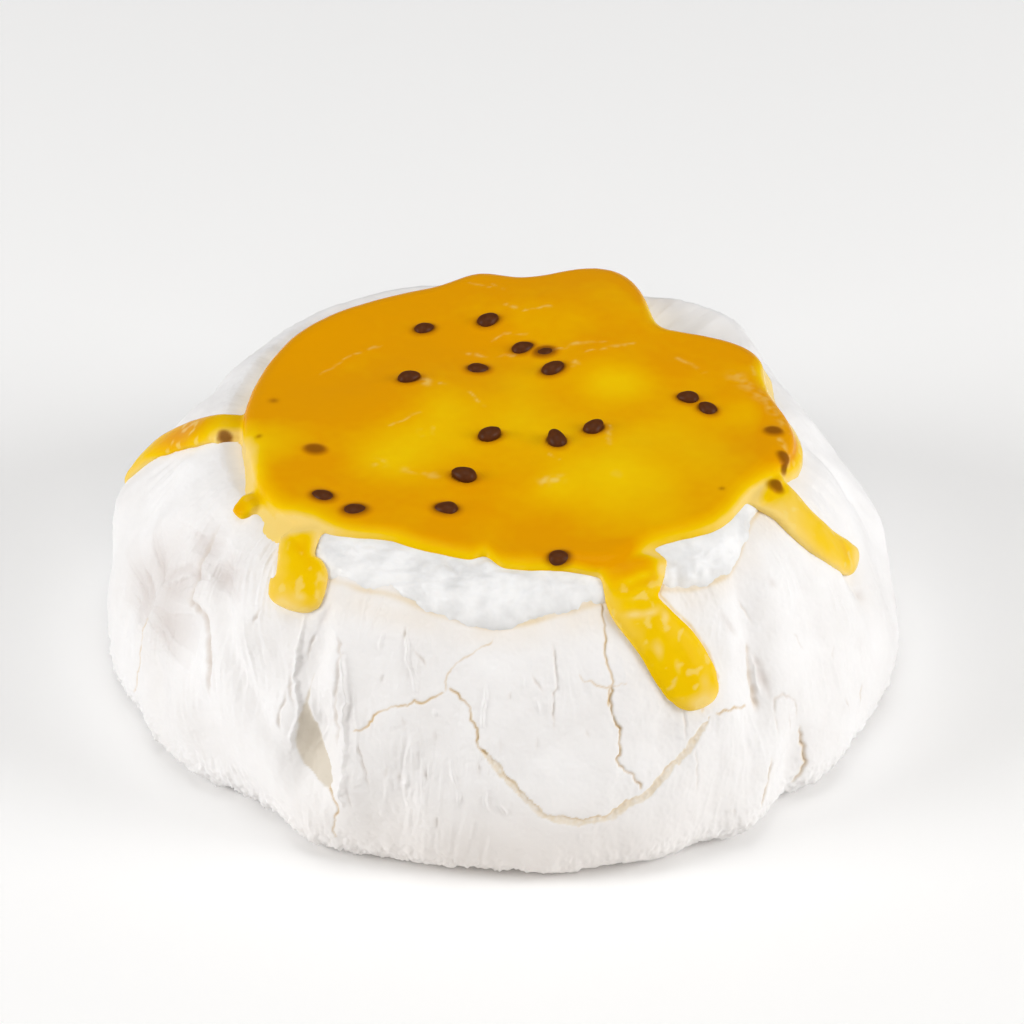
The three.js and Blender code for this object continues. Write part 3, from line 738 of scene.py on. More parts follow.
def tearScar(turn, run, radius, toRun, rings, relief, masks):
    path = roughPath(scar["path"], scar["jitter"], 191)
    near, away, hand, along = pathField(turn, run, radius, path, toRun, markShape["reach"])
    ends = ramp(along, 0, scar["ends"][0]) * ramp(1 - along, 0, scar["ends"][1])
    cell, moved = scar["torn"]
    torn = softNoise(rings[near], cell, 192)
    half, varies, cell = scar["widths"]
    width = half + varies * softNoise(rings[near], cell, 193)
    width = width * (scar["endWidth"] + (1 - scar["endWidth"]) * ends)
    low, high = scar["edge"]
    inside = 1 - ramp(away + moved * torn, width * low, width * high)
    relief[near] -= inside * scar["depth"] * (scar["bed"][0] + scar["bed"][1] * torn)
    relief[near] += scar["step"] * np.where(hand > 0, smooth(away, scar["stepSpread"]), 0) * ends
    tone, tornMore, patchMore, cell = scar["tone"]
    tone = tone + tornMore * torn + patchMore * softNoise(rings[near], cell, 195)
    masks["scar"][near] = inside * tone
    tone, thick, cell, start, full = scar["browned"]
    browned = inside * smooth(away - width * low, thick) * np.where(hand > 0, 0, 1)
    browned = tone * browned * ramp(softNoise(rings[near], cell, 196), start, full)
    masks["crack"][near] = np.maximum(masks["crack"][near], browned)


def cutScoop(turn, radius, rings, relief, masks):
    level = rings[..., 2]
    heights = scoop["heights"]
    leftGap = np.radians(turnTo(turn, np.interp(level, heights, scoop["left"]))) * radius
    rightGap = np.radians(turnTo(np.interp(level, heights, scoop["right"]), turn)) * radius
    inset = np.minimum.reduce([leftGap, rightGap, level - heights[0], heights[-1] - level])
    far, cell = scoop["waver"]
    inset = inset + far * softNoise(rings, cell, 194)
    least, more = scoop["fall"]
    deeper = 1 - ramp(rightGap, *scoop["fallWidth"])
    deeper = least + more * deeper * ramp(heights[-1] - level, 0, scoop["deepens"])
    relief -= scoop["depth"] * deeper * ramp(inset, *scoop["edge"])
    # The scoop's tone: the broken crust's beige inside, darkened with painted shade of the deep
    # pocket.
    masks["hollow"][:] = ramp(inset, *scoop["tintEdge"])


def stainWallPaintBounce(turn, run, radius, toRun, level, rings, masks):
    gap = radius - creamRadius(turn, level)
    about, fade = syrup["angles"]
    strength, varies, cell = syrup["patches"]
    stain = ramp(about - np.abs(turnTo(turn, -90)), 0, fade) * ramp(level, *syrup["heights"])
    stain = stain * (strength + varies * softNoise(rings, cell, 15))
    off, width = syrup["weep"]
    masks["weep"][:] = smooth(gap - off, width) * stain
    masks["soak"][:] = smooth(gap, syrup["soak"]) * stain
    stops = np.array(drips[wetLine["drip"]], float)
    near, away, hand, along = pathField(turn, run, radius, stops[:, :2], toRun, wetLine["reach"])
    half = np.interp(along * (len(stops) - 1), np.arange(len(stops)), stops[:, 2])
    beside = smooth(away - half - wetLine["gap"], wetLine["width"])
    beside = beside * np.where(hand < 0, 1, wetLine["otherSide"])
    cell, start, full = wetLine["patches"]
    beside = wetLine["strength"] * beside * ramp(softNoise(rings[near], cell, 16), start, full)
    masks["weep"][near] = np.maximum(masks["weep"][near], beside)
    # Painted warm bounce light on the front of the wall, strongest at the foot.
    low = ramp(warmBounceShape["height"] - level, 0, warmBounceShape["fade"])
    masks["paintedBounce"][:] = low * smooth(turnTo(turn, -90), warmBounceShape["spread"])


def makeMeringue():
    angle = frontColumns(shell["columns"])[None, :]
    bellyHeight, rimHeight = shell["bellyHeight"], shell["rimHeight"]
    footEdge = shell["footRadius"] + wallRelief(angle, 0)
    under = around(angle, footEdge * np.array(shell["footRings"])[:, None], 0)
    share = np.linspace(0, 1, shell["lipRows"] + 1)[:-1, None]
    outPower, upPower = shell["lipPowers"]
    bellyEdge = shell["bellyRadius"] + wallRelief(angle, bellyHeight)
    lip = around(angle, footEdge + (bellyEdge - footEdge) * (1 - (1 - share) ** outPower),
                 bellyHeight * share ** upPower)
    rises, runs, toRun = evenRises(shell["wallRows"])
    height = bellyHeight + (rimHeight - bellyHeight) * np.sin(rises[:, None]) ** shell["wallPower"]
    wall = around(angle, wallRadius(angle, height), height)
    inward = np.arange(1, shell["dishRows"] + 1)[:, None] / (shell["dishRows"] + 1)
    inward = inward ** shell["dishPower"]
    rimEdge = rimRadius(angle) + wallRelief(angle, rimHeight)
    dish = around(angle, rimEdge * (1 - inward),
                  rimHeight - shell["dishDepth"] * ramp(inward, 0, shell["dishReach"]))
    rings = np.concatenate([under, lip, wall, dish])

    # Length along the profile, measured from the lip, for the spatula's marks.
    lipRun = -shell["lipLength"] * (1 - share[:, 0])
    dishRun = runs[-1] + shell["rimRadius"] * inward[:, 0]
    run = np.concatenate([np.full(len(under), -shell["lipLength"]), lipRun, runs, dishRun])[:, None]
    run = np.broadcast_to(run, rings.shape[:2])
    turn = np.broadcast_to(angle, rings.shape[:2])
    radius = np.hypot(rings[..., 0], rings[..., 1])
    masks = {name: np.zeros(rings.shape[:2]) for name in meringueMasks}

    relief = strokeRelief(turn, run, rings)
    cutMarks(turn, run, radius, toRun, relief, masks)
    tearScar(turn, run, radius, toRun, rings, relief, masks)
    cutScoop(turn, radius, rings, relief, masks)
    level = rings[..., 2]
    calmFrom, calm = shell["dishCalm"]
    fade = ramp(level, 0, shell["footFade"]) * np.where(run > runs[-1] + calmFrom, calm, 1)
    fade[:len(under)] = 0
    rings = rings + gridNormals(rings) * (relief * fade)[..., None]
    rings[..., 2] = np.maximum(rings[..., 2], 0)
    stainWallPaintBounce(turn, run, radius, toRun, level, rings, masks)

    solid = closeRings(rings, (0, 0, 0), (0, 0, rimHeight - shell["dishDepth"]))
    mesh = makeMesh("meringueShell", *solid)
    for name, mask in masks.items():
        addMask(mesh, name, np.concatenate([mask.ravel(), [0, 0]]))
    return mesh


meringueMesh = makeMeringue()
meringuePiece = addPiece("meringueShell", meringueMesh)
print("meringue made:", len(meringueMesh.polygons), "faces")


whipped = {                               # the froth's bumps: size and depth
    "blob": (5.4, 1.25),
    "bead": (2.4, 0.5),
    "skin": (1.1, 0.07),
    "swell": (13, 0.8),
}
creaseSoftness = 0.1


def billow(points, cell, seedNumber):     # round bumps with soft creases between them
    return np.sqrt(softNoise(points, cell, seedNumber) ** 2 + creaseSoftness ** 2) - creaseSoftness


def makeCream(grow=0, fine=1, froth=1):   # grown outwards, with a share of the rows and of the froth
    angle = np.linspace(0, 360, int(cream["columns"] * fine), endpoint=False)[None, :]
    edge = creamEdge(angle)
    roll = creamRoll(angle)
    edgeHeight, topHeight = cream["edgeHeight"], cream["topHeight"]
    foot = np.linspace(0, 1, cream["footRows"], endpoint=False)[:, None]
    side = around(angle, edge - cream["tuck"] * (1 - foot),
                  cream["bottomHeight"] + (edgeHeight - cream["bottomHeight"]) * foot)
    turn = np.radians(np.linspace(0, 90, int(cream["rollRows"] * fine) + 1))[:, None]
    rolled = around(angle, edge - roll + roll * np.cos(turn) ** cream["rollPower"], 0)
    top = topHeight + topRelief(rolled[..., 0], rolled[..., 1])
    rolled[..., 2] = edgeHeight + (top - edgeHeight) * np.sin(turn) ** cream["rollPower"]
    rows = int(cream["topRows"] * fine)
    inward = (np.arange(1, rows + 1) / (rows + 1))[:, None]
    flat = around(angle, (edge - roll) * (1 - inward), 0)
    flat[..., 2] = topHeight + topRelief(flat[..., 0], flat[..., 1])
    rings = np.concatenate([side, rolled, flat])
    x, y, z = np.moveaxis(rings, -1, 0)
    rings[..., 2] += creamLift(x, y) * ramp(z, *cream["liftFrom"])
    relief = -cream["sunk"] * froth
    for name, seedNumber in (("blob", 31), ("bead", 32)):
        cell, depth = whipped[name]
        bumps = billow(rings * [1, 1, cream["upright"]], cell, seedNumber)
        relief = relief + froth * depth * bumps
    for name, seedNumber in (("skin", 33), ("swell", 34)):
        cell, depth = whipped[name]
        relief = relief + depth * softNoise(rings, cell, seedNumber)
    # It is smooth under the sauce and where it meets the shell.
    bare = ramp(np.hypot(x, y) - sauceEdge(angle), *cream["bareFrom"]) * ramp(z, *cream["frothFrom"])
    relief = grow + relief * (cream["covered"] + (1 - cream["covered"]) * bare)
    rings = rings + gridNormals(rings) * relief[..., None]
    return closeRings(rings, (0, 0, cream["bottomHeight"]), (0, 0, rings[-1, :, 2].mean()))


sauce = {
    "radius": 61.5,                       # outline of the pool, before the lobes
    "depth": 2.2,                         # over the cream
    "round": 5,                           # rounding of the pool's edge
    "sag": 3.5,                           # how far that rounding falls
    "flare": 0.5,                         # how much wider the coat is than the pool
    "coatHeight": 60,                     # where the coat on the cream's side is widest
    "bottomHeight": 51,                   # its foot, bedded in the shell
    "columns": 420,
    "coatRows": 10,
    "roundRows": 14,
    "topRows": 60,
    "dripSides": 28,
    "dripSteps": 90,
    "voxel": 0.5,
    "evened": (9, 0.52, -0.53),           # rounds of smoothing, and its steps inwards and out again
    "waves": ((9, 0.1, 51), (3.4, 0.05, 52)),     # size, height and seed number
    "bite": 0.12,                         # how far it dips into what it lies on
    "bedFine": 0.8,                       # share of the cream's rows that shape its underside
}
sauceLobes = [
    (140, 18, 2), (95, 7, 4), (68, 11, 9.5), (46, 9, -6), (25, 10, 6), (-8, 18, 8),
    (-42, 12, 5), (-67, 8, 5), (-104, 13, -4.5), (-94, 2.6, -3.5), (-118, 7, -3), (-145, 14, 2.5),
]
coatLobes = [(-155, 8, 3), (-141, 8, 4), (8, 26, 2)]    # sauce run over the cream's side
dripShape = {
    "lift": 0.7,                          # of its middle, over what it lies on
    "thick": 1.8,
    "buried": 2.5,
    "taperHalf": 4,                       # it is thinner where its half-width is less than this
    "start": 0.35,                        # share of its thickness at the pool
    "startLength": 0.16,                  # share of its length over which that grows to the whole
    "closing": 1.25,                      # its steps stand closer together at the tip
    "least": 0.05,                        # half-width
    "section": 0.8,                       # 1 is an ellipse, less is squarer
    "bridged": (-3, -1.5, 0, 1.5, 3),     # it lies on the mean of the wall at these angles
}
# Seeds: plan position, turn of the long axis, how far that is tipped up, size, and how sunk they
# are from 0 to 1.
seeds = [
    (-19, 37.2, 25, 8, 0.92, 0.35), (-3.6, 40.1, 30, 12, 0.98, 0.2),
    (4.8, 28.6, 20, 5, 0.95, 0.35), (10.1, 26.2, 170, 2, 0.9, 0.75),
    (-5.9, 19.7, 10, 3, 0.95, 0.45), (-22.3, 13.8, 20, 6, 0.96, 0.15),
    (12, 18.3, 32, 12, 1.06, 0.3), (44, 6.6, 168, 3, 0.9, 0.2), (48.6, 2.4, 140, 18, 0.88, 0.3),
    (-3, -10.4, 32, 12, 1, 0), (12.7, -13, 112, 24, 1.02, 0), (21.5, -7.7, 44, 16, 0.98, 0.05),
    (-9, -27.1, 160, 10, 1.02, 0), (-13, -39.6, 175, 4, 1, 0.4), (-44, -15.6, 160, 2, 0.8, 0.95),
    (-41.7, -35.3, 155, 10, 0.96, 0.55), (-34.1, -40.9, 12, 4, 1, 0.65),
    (63.9, -6.7, 160, 0, 0.7, 0.86), (66.3, -16.3, 150, 0, 0.68, 0.86),
    (68.2, -19.4, 130, 0, 0.5, 0.9), (64.2, -25, 5, 0, 0.68, 0.86), (13, -58.6, 0, 0, 0.9, 0.5),
    (-65.5, -5, -60, 0, 0.6, 0.9),
]
seed = {
    "length": 5.8,
    "width": 4.5,
    "height": 3.6,
    "point": (0.16, 0.1),                 # one end is drawn out: least, and how much more
    "long": (0.96, 0.08),                 # shares of its length and width, likewise
    "wide": (0.94, 0.12),
    "uneven": (0.035, 1.2),               # share and size
    "upright": 0.6,                       # how much it faces up and not out from the surface
    "sunk": -0.25,                        # least, and how much more with each share
    "give": 1.9,
    "drowned": 2.2,                       # and more yet where wholly under
    "drownFrom": (0.8, 0.9),
    "swell": (0.32, 0.9, 0.55),           # of the sauce round it: height, start and spread
    "swellFrom": (61, 64),                # heights over which that comes in
    "around": 28,
    "along": 20,
}
specks = [(-54.4, 6.4, 1.1), (-57.4, -9.7, 0.8), (51, -32, 0.7)]      # pulp: place, half-width

# Where the sauce thins towards its edge: angle, spread and by how much.
edgeThins = [
    (-168, 27, 2.3), (-137, 12, 0.6), (150, 16, 0.6), (8, 30, 1.0), (19, 10, 0.7),
    (-32, 12, 0.5), (96, 12, 0.3),
]

# Pale and deep places of the drips, the pale ones partly thin sauce and partly painted highlights:
# angle, height, half-width across and up, and how much thinner.
patches = [
    (-58.6, 37.4, 3.6, 2.2, 0.95), (-57.6, 41.4, 1.6, 1.8, 0.35), (-63.5, 63.2, 8, 2.2, 0.7),
    (-65.5, 62.8, 2.2, 0.8, 0.7), (-62.6, 63.3, 2.4, 0.7, 0.9), (-58.4, 63.2, 1.5, 1.4, 1),
    (-66.6, 57.6, 1.8, 0.6, 0.7), (-63.6, 57.3, 2.2, 0.6, 0.7), (-61.2, 55.8, 1, 0.9, 0.6),
    (-64, 50.3, 1.1, 1.8, 0.5), (-61.5, 46, 0.9, 1.6, 0.4), (-129.4, 53.4, 4, 2, 1),
    (-127.4, 56.4, 1.6, 0.8, 0.5), (-152.6, 61.2, 4, 3, -1.3), (174, 56, 9, 9, -1.2),
    (-24, 59, 8, 6, 0.4), (-14, 39, 4.5, 2.6, 0.8),
]

# Fine smears of cream in the sauce: from and to in plan, half-width and strength.
smears = [
    (-43.5, 19.1, -37.9, 25.3, 0.35, 0.5), (-37.9, 25.3, -29.4, 30.7, 0.35, 0.6),
    (-8.3, 58.1, -2.9, 55.3, 0.3, 0.5), (-2.5, 57.1, 0, 53.5, 0.3, 0.5),
    (0.5, 47, 5.3, 44.3, 0.35, 0.7), (5.3, 43.4, 12.6, 44.3, 0.3, 0.8),
    (34.7, 56.2, 37.4, 44.3, 0.5, 0.5), (-10.6, 27.1, -4.3, 26.2, 0.45, 0.9),
    (-4.3, 26.2, 2.9, 26.2, 0.35, 0.9), (-2.4, 32.5, 0.5, 35.2, 0.35, 0.7),
    (0.5, 35.2, 5.3, 34.3, 0.35, 0.8), (11.6, 26.2, 17.8, 28, 0.35, 0.8),
    (17.8, 28, 25, 28.6, 0.3, 0.5), (19.2, 24.4, 25.5, 25.3, 0.35, 0.7),
    (25.5, 25.3, 31.3, 28.9, 0.35, 0.6), (17.1, 21.8, 17.5, 19.1, 0.6, 0.7),
    (-18.6, 13.8, -18.6, 12.1, 1.0, 0.9), (-15.2, 12.1, -14.3, 12.1, 0.4, 0.8),
    (-8.5, 8.5, -4.2, 2.4, 0.3, 0.7), (-26.4, -6.2, -19.4, -0.6, 0.3, 0.6),
    (42.3, 23.6, 47.9, 18.2, 0.5, 0.6), (55.5, 16.5, 62.3, 6.8, 1.6, 0.5),
    (62.3, 6.8, 66.3, -2.8, 1.2, 0.5), (59.4, 20, 60.3, 18.2, 0.6, 0.8),
    (-28.9, -21.6, -28.4, -21.6, 1.2, 0.9), (-22.8, -24.1, -15.3, -26.6, 0.9, 0.5),
    (-19.3, -7.9, -19.2, -10.5, 0.3, 0.6), (-16.4, -7.1, -16.4, -9.7, 0.3, 0.6),
    (9.9, -28.7, 13.1, -28.7, 1.3, 0.9), (10.9, -18.2, 12.7, -20.3, 0.3, 0.5),
    (25.5, -6.2, 25, -14.8, 0.3, 0.8), (65.5, -10.5, 66.7, -15.6, 0.7, 0.7),
    (64.7, -29, 65, -33, 0.9, 0.9),
]
sauceTone = {
    "levels": (60, 64),                   # a drip below this and the pool above it
    "dripShare": 0.4,                     # share of a drip's depth that counts
    "shallowShare": 0.55,                 # how much of the shallows thins it
    "fullDrip": ("frontRight", 14),       # as deep at its sides, within this angle
    "shallow": 0.95,                      # at least this deep before its edge thins
    "edgeWidth": 4.5,                     # thins over this width
    "rearRim": (1.0, 2.2),                # the far edge lets light through: by how much, and width
    "rearFrom": (0, 20),
    "unevenness": ((12, 0.16, 71), (2.6, 0.08, 72)),      # size, depth and seed number
    "thinnest": 0.3,
    "deepest": 3,
    "sway": (3.2, 0.9),                   # of the smears: size and how far
    "broken": (1.7, -0.45, 0.35),         # where they break up: size, and from nothing to whole
    "speckle": (2.4, 0.34, 0.54, 0.9),    # painted highlights on the drips: the same, and strength
    "haloShift": 0.35,                    # the painted shade round each seed lies this much nearer the front
    "haloReach": (0.9, 1.7),              # from and to, in sizes of the seed
    "halo": (0.65, 0.35),                 # strength, and how much more for a sunk seed
    "veilSoft": (0.1, 0.35),              # of a seed under the sauce: least, and how much more
    "veilReach": (1.05, 1.1),
    "veilSpread": 0.6,                    # outwards for inwards
    "veilFade": 0.45,                     # less of it the deeper the seed is
}
skin = {                                  # what the sauce lies on, made coarsely
    "heights": (28, 60.9),
    "columns": 240,
    "rows": 36,
    "fine": 0.4,
    "froth": 0.25,
}


def sauceEdge(angle):
    return sauce["radius"] + lobed(sauceLobes, angle)


def sauceTop(x, y):
    edge = sauceEdge(np.degrees(np.arctan2(y, x)))
    out = np.clip(1 - (edge - np.hypot(x, y)) / sauce["round"], 0, 1)
    fallen = sauce["sag"] * (1 - np.sqrt(1 - out * out))
    return cream["topHeight"] + topRelief(x, y) + sauce["depth"] - fallen


def makePool():
    angle = np.linspace(0, 360, sauce["columns"], endpoint=False)[None, :]
    edge = sauceEdge(angle)
    level = np.linspace(sauce["bottomHeight"], sauce["coatHeight"], sauce["coatRows"])[:, None]
    coat = around(angle, edge + sauce["flare"] + lobed(coatLobes, angle), level)
    turn = np.radians(np.linspace(0, 90, sauce["roundRows"]))[:, None]
    rounded = around(angle, edge - sauce["round"] * (1 - np.cos(turn)), 0)
    inward = (np.arange(1, sauce["topRows"] + 1) / (sauce["topRows"] + 1))[:, None]
    flat = around(angle, (edge - sauce["round"]) * (1 - inward), 0)
    top = np.concatenate([rounded, flat])
    top[..., 2] = sauceTop(top[..., 0], top[..., 1])
    rings = np.concatenate([coat, top])
    return closeRings(rings, (0, 0, sauce["bottomHeight"]), (0, 0, float(sauceTop(0.0, 0.0))))


def curveThrough(stops, shares):          # a smooth curve through the stops
    stops = np.array(stops, float)
    ends = np.concatenate([[2 * stops[0] - stops[1]], stops, [2 * stops[-1] - stops[-2]]])
    place = np.clip(shares * (len(stops) - 1), 0, len(stops) - 1 - 1e-9)
    n = place.astype(int)
    t = (place - n)[:, None]
    a, b, c, d = ends[n], ends[n + 1], ends[n + 2], ends[n + 3]
    return 0.5 * (2 * b + (c - a) * t + (2 * a - 5 * b + 4 * c - d) * t ** 2
                  + (3 * b - a - 3 * c + d) * t ** 3)


def unit(vectors):
    return vectors / np.linalg.norm(vectors, axis=-1)[..., None]


def makeDrip(path):
    stops = np.array(path, float)
    places = around(stops[:, 0], skinRadius(stops[:, 0], stops[:, 1]), stops[:, 1])
    shares = np.linspace(0, 1, sauce["dripSteps"], endpoint=False)
    shares = 1 - (1 - shares) ** dripShape["closing"]
    route = curveThrough(places, shares)
    half = np.maximum(curveThrough(stops[:, 2:3], shares)[:, 0], dripShape["least"])
    last = len(stops) - 2                 # the tip is round, not a straight taper
    tip = np.clip(shares * (len(stops) - 1) - last, 0, 1)
    half = np.where(tip > 0, stops[last, 2] * np.sqrt(np.maximum(1 - tip ** 2, 1e-4)), half)
    along = unit(np.gradient(route, axis=0))
    upAndOut = np.stack([route[:, 0], route[:, 1], np.hypot(route[:, 0], route[:, 1])], axis=1)
    sideways = unit(np.cross(along, upAndOut))
    off = unit(np.cross(sideways, along))
    begun = ramp(shares, 0, dripShape["startLength"])
    begun = dripShape["start"] + (1 - dripShape["start"]) * begun
    thin = (np.minimum(1, half / dripShape["taperHalf"]) * begun)[:, None]
    turn = np.linspace(0, 2 * np.pi, sauce["dripSides"], endpoint=False)
    across = np.sign(np.cos(turn)) * np.abs(np.cos(turn)) ** dripShape["section"]
    spread = route[:, None] + sideways[:, None] * (half[:, None] * across)[..., None]
    facing = np.degrees(np.arctan2(spread[..., 1], spread[..., 0]))
    level = spread[..., 2]
    reach = np.mean([skinRadius(facing + more, level) for more in dripShape["bridged"]], axis=0)
    bulge = np.where(np.sin(turn) > 0, thin * dripShape["thick"], dripShape["buried"]) * np.sin(turn)
    outwards = (thin * dripShape["lift"] + bulge)[..., None]
    rings = around(facing, reach, level) + off[:, None] * outwards
    return closeRings(rings[:, ::-1], route[0], places[-1])


def relaxed(points, edges):               # smooths without shrinking
    rounds, inwards, outwards = sauce["evened"]
    count = np.bincount(edges.ravel(), minlength=len(points))[:, None]
    a, b = edges.T
    for step in (inwards, outwards) * rounds:
        sums = [np.bincount(a, line[b], len(line)) + np.bincount(b, line[a], len(line))
                for line in points.T]
        points = points + step * (np.stack(sums, axis=1) / count - points)
    return points


def meshNormals(mesh):
    normals = np.empty(len(mesh.vertices) * 3, np.float32)
    mesh.vertex_normals.foreach_get("vector", normals)
    return normals.reshape(-1, 3).astype(float)


def setPoints(mesh, points):
    mesh.vertices.foreach_set("co", ((points - middle) / 1000).astype(np.float32).ravel())
    mesh.update()


def joined(parts):
    points, quads, triangles, start = [], [], [], 0
    for partPoints, partQuads, partTriangles in parts:
        points.append(partPoints)
        quads.append(partQuads + start)
        triangles.append(partTriangles + start)
        start += len(partPoints)
    return np.concatenate(points), np.concatenate(quads), np.concatenate(triangles)


def seedAxes(turn, tip, normal):          # a seed's long, wide and thin axes
    up = unit(np.array(normal) + [0, 0, seed["upright"]])
    turn, tip = math.radians(turn), math.radians(tip)
    heading = np.array([math.cos(turn), math.sin(turn), 0.0])
    heading = unit(heading - up * (up @ heading))
    return np.stack([heading * math.cos(tip) + up * math.sin(tip), np.cross(up, heading),
                     up * math.cos(tip) - heading * math.sin(tip)])


def seedDistance(points, turn, size, place, normal=(0, 0, 1)):     # 1 on the seed's outline
    off = (points - place) @ seedAxes(turn, 0, normal).T
    halves = np.array([seed["length"], seed["width"], seed["width"]]) / 2 * size
    return np.linalg.norm(off / halves, axis=1)


def makeSauce():
    parts = [makePool()] + [makeDrip(path) for path in drips.values()]
    piece = addPiece("sauceDraft", makeMesh("sauceDraft", *joined(parts)))
    remesh = piece.modifiers.new("skin", "REMESH")
    remesh.mode = "VOXEL"
    remesh.voxel_size = sauce["voxel"] / 1000
    mesh = applied(piece)
    bpy.data.objects.remove(piece)
    edges = np.empty(len(mesh.edges) * 2, np.int32)
    mesh.edges.foreach_get("vertices", edges)
    points = relaxed(meshPoints(mesh), edges.reshape(-1, 2))
    setPoints(mesh, points)

    # The sauce swells a little round each seed, and lies in soft waves.
    lift = sum(high * softNoise(points, cell, number) for cell, high, number in sauce["waves"])
    onTop = ramp(points[:, 2], *seed["swellFrom"])
    high, start, spread = seed["swell"]
    for a, b, heading, _, size, _ in seeds:
        near = seedDistance(points, heading, size, (a, b, float(sauceTop(a, b))))
        lift = lift + onTop * high * smooth(np.maximum(near - start, 0), spread)
    setPoints(mesh, points + meshNormals(mesh) * lift[:, None])

    piece = addPiece("passionFruitSauce", mesh)
    bed = addPiece("creamBed", makeMesh("creamBed", *makeCream(-sauce["bite"], sauce["bedFine"])))
    for cutter in (bed, meringuePiece):
        cut = piece.modifiers.new("cut", "BOOLEAN")
        cut.operation = "DIFFERENCE"
        cut.solver = "MANIFOLD"
        cut.object = cutter
    mesh = applied(piece)
    piece.modifiers.clear()
    piece.data = mesh
    bpy.data.objects.remove(bed)
    return piece


creamMesh = makeMesh("whippedCream", *makeCream())
creamPiece = addPiece("whippedCream", creamMesh)
print("cream made:", len(creamMesh.polygons), "faces")

saucePiece = makeSauce()
print("sauce made:", len(saucePiece.data.polygons), "faces")


def findSeedPlaces():                     # where each seed meets the surface, and the way it faces
    surface = BVHTree.FromObject(saucePiece, bpy.context.evaluated_depsgraph_get())
    over = 3                              # where it is looked for from, in millimetres
    found = []
    for x, y, *_ in seeds:
        above = Vector(([x, y, float(sauceTop(x, y)) + over] - middle) / 1000)
        place, normal = surface.ray_cast(above, Vector((0, 0, -1)))[:2]
        if place is None:                 # just off the edge, so it clings to the side
            place, normal = surface.find_nearest(above - Vector((0, 0, over / 1000)))[:2]
        found.append((np.array(place) * 1000 + middle, np.array(normal)))
    return found


seedPlaces = findSeedPlaces()


def skinTree():                           # for finding the nearest place on it
    angle = np.linspace(0, 360, skin["columns"], endpoint=False)[None, :]
    level = np.linspace(*skin["heights"], skin["rows"])[:, None]
    wall = around(angle, wallRadius(angle, level), level)
    wall = closeRings(wall, wall[0].mean(0), wall[-1].mean(0))
    points, quads, triangles = joined([makeCream(0, skin["fine"], skin["froth"]), wall])
    return BVHTree.FromPolygons(points.tolist(), quads.tolist() + triangles.tolist())


def sauceDepth(points, drip, bed):        # in millimetres, over the cream or the wall that it lies on
    x, y, z = points.T
    depth = np.array([bed.find_nearest(point)[3] for point in points.tolist()])
    depth *= 1 - (1 - sauceTone["dripShare"]) * drip
    depth -= sauceTone["shallowShare"] * hills(x, y, shallows)
    facing = np.degrees(np.arctan2(y, x))
    name, spread = sauceTone["fullDrip"]
    fullDrip = smooth(turnTo(facing, drips[name][0][0]), spread)
    depth = np.maximum(depth, sauceTone["shallow"] * np.maximum(1 - drip, fullDrip))
    inset = np.maximum(sauceEdge(facing) - np.hypot(x, y), 0)
    depth -= lobed(edgeThins, facing) * smooth(inset, sauceTone["edgeWidth"]) * (1 - drip)
    thin, width = sauceTone["rearRim"]
    depth -= thin * smooth(inset, width) * ramp(y, *sauceTone["rearFrom"]) * (1 - drip)
    # The pale patches are partly thin sauce and partly painted highlights.
    for at, level, across, tall, thinner in patches:
        off = np.radians(turnTo(facing, at)) * np.hypot(x, y)
        depth -= thinner * smooth(off, across) * smooth(z - level, tall)
    for cell, size, seedNumber in sauceTone["unevenness"]:
        depth += size * softNoise(points, cell, seedNumber)
    return depth


def sauceStreaks(points, drip):           # the smears wander, and break up along their length
    cell, far = sauceTone["sway"]
    swayed = points[:, :2] + far * np.stack([softNoise(points, cell, n) for n in (76, 77)], axis=1)
    cell, start, full = sauceTone["broken"]
    broken = ramp(softNoise(points, cell, 73), start, full)
    streak = np.zeros(len(points))
    for a, b, c, d, half, strength in smears:
        first, span = np.array([a, b]), np.array([c - a, d - b])
        share = np.clip((swayed - first) @ span / (span @ span), 0, 1)
        away = np.linalg.norm(swayed - first - share[:, None] * span, axis=1)
        streak = np.maximum(streak, strength * smooth(away, half))
    # Pale speckles on the drips are painted highlights of the wet gel.
    cell, start, full, strength = sauceTone["speckle"]
    speckle = strength * ramp(softNoise(points, cell, 75), start, full)
    return streak * broken * (1 - drip) + speckle * drip


def seedShadows(points):                  # painted shade in rings round the seeds, the pulp specks, and the seeds seen through it
    halo, veil = np.zeros((2, len(points)))
    strong, more = sauceTone["halo"]
    for (_, _, turn, _, size, sunk), (place, normal) in zip(seeds, seedPlaces):
        near = seedDistance(points + [0, sauceTone["haloShift"], 0], turn, size, place, normal)
        halo = np.maximum(halo, (1 - ramp(near, *sauceTone["haloReach"])) * (strong + more * sunk))
        soft = sauceTone["veilSoft"][0] + sauceTone["veilSoft"][1] * sunk
        inner, outer = sauceTone["veilReach"]
        near = seedDistance(points, turn, size, place, normal)
        seen = 1 - ramp(near, inner - soft, outer + soft * sauceTone["veilSpread"])
        veil = np.maximum(veil, seen * (1 - sauceTone["veilFade"] * sunk))
    for a, b, half in specks:
        halo = np.maximum(halo, smooth(np.hypot(points[:, 0] - a, points[:, 1] - b), half))
    return halo, veil


def colourSauce(mesh, bed):
    points = meshPoints(mesh)
    drip = 1 - ramp(points[:, 2], *sauceTone["levels"])
    depth = np.maximum(sauceDepth(points, drip, bed), sauceTone["thinnest"])
    halo, veil = seedShadows(points)
    addMask(mesh, "depth", np.clip(depth / sauceTone["deepest"], 0, 1))
    addMask(mesh, "streak", np.clip(sauceStreaks(points, drip), 0, 1))
    addMask(mesh, "halo", halo)
    addMask(mesh, "veil", veil)


colourSauce(saucePiece.data, skinTree())
print("sauce depths found")


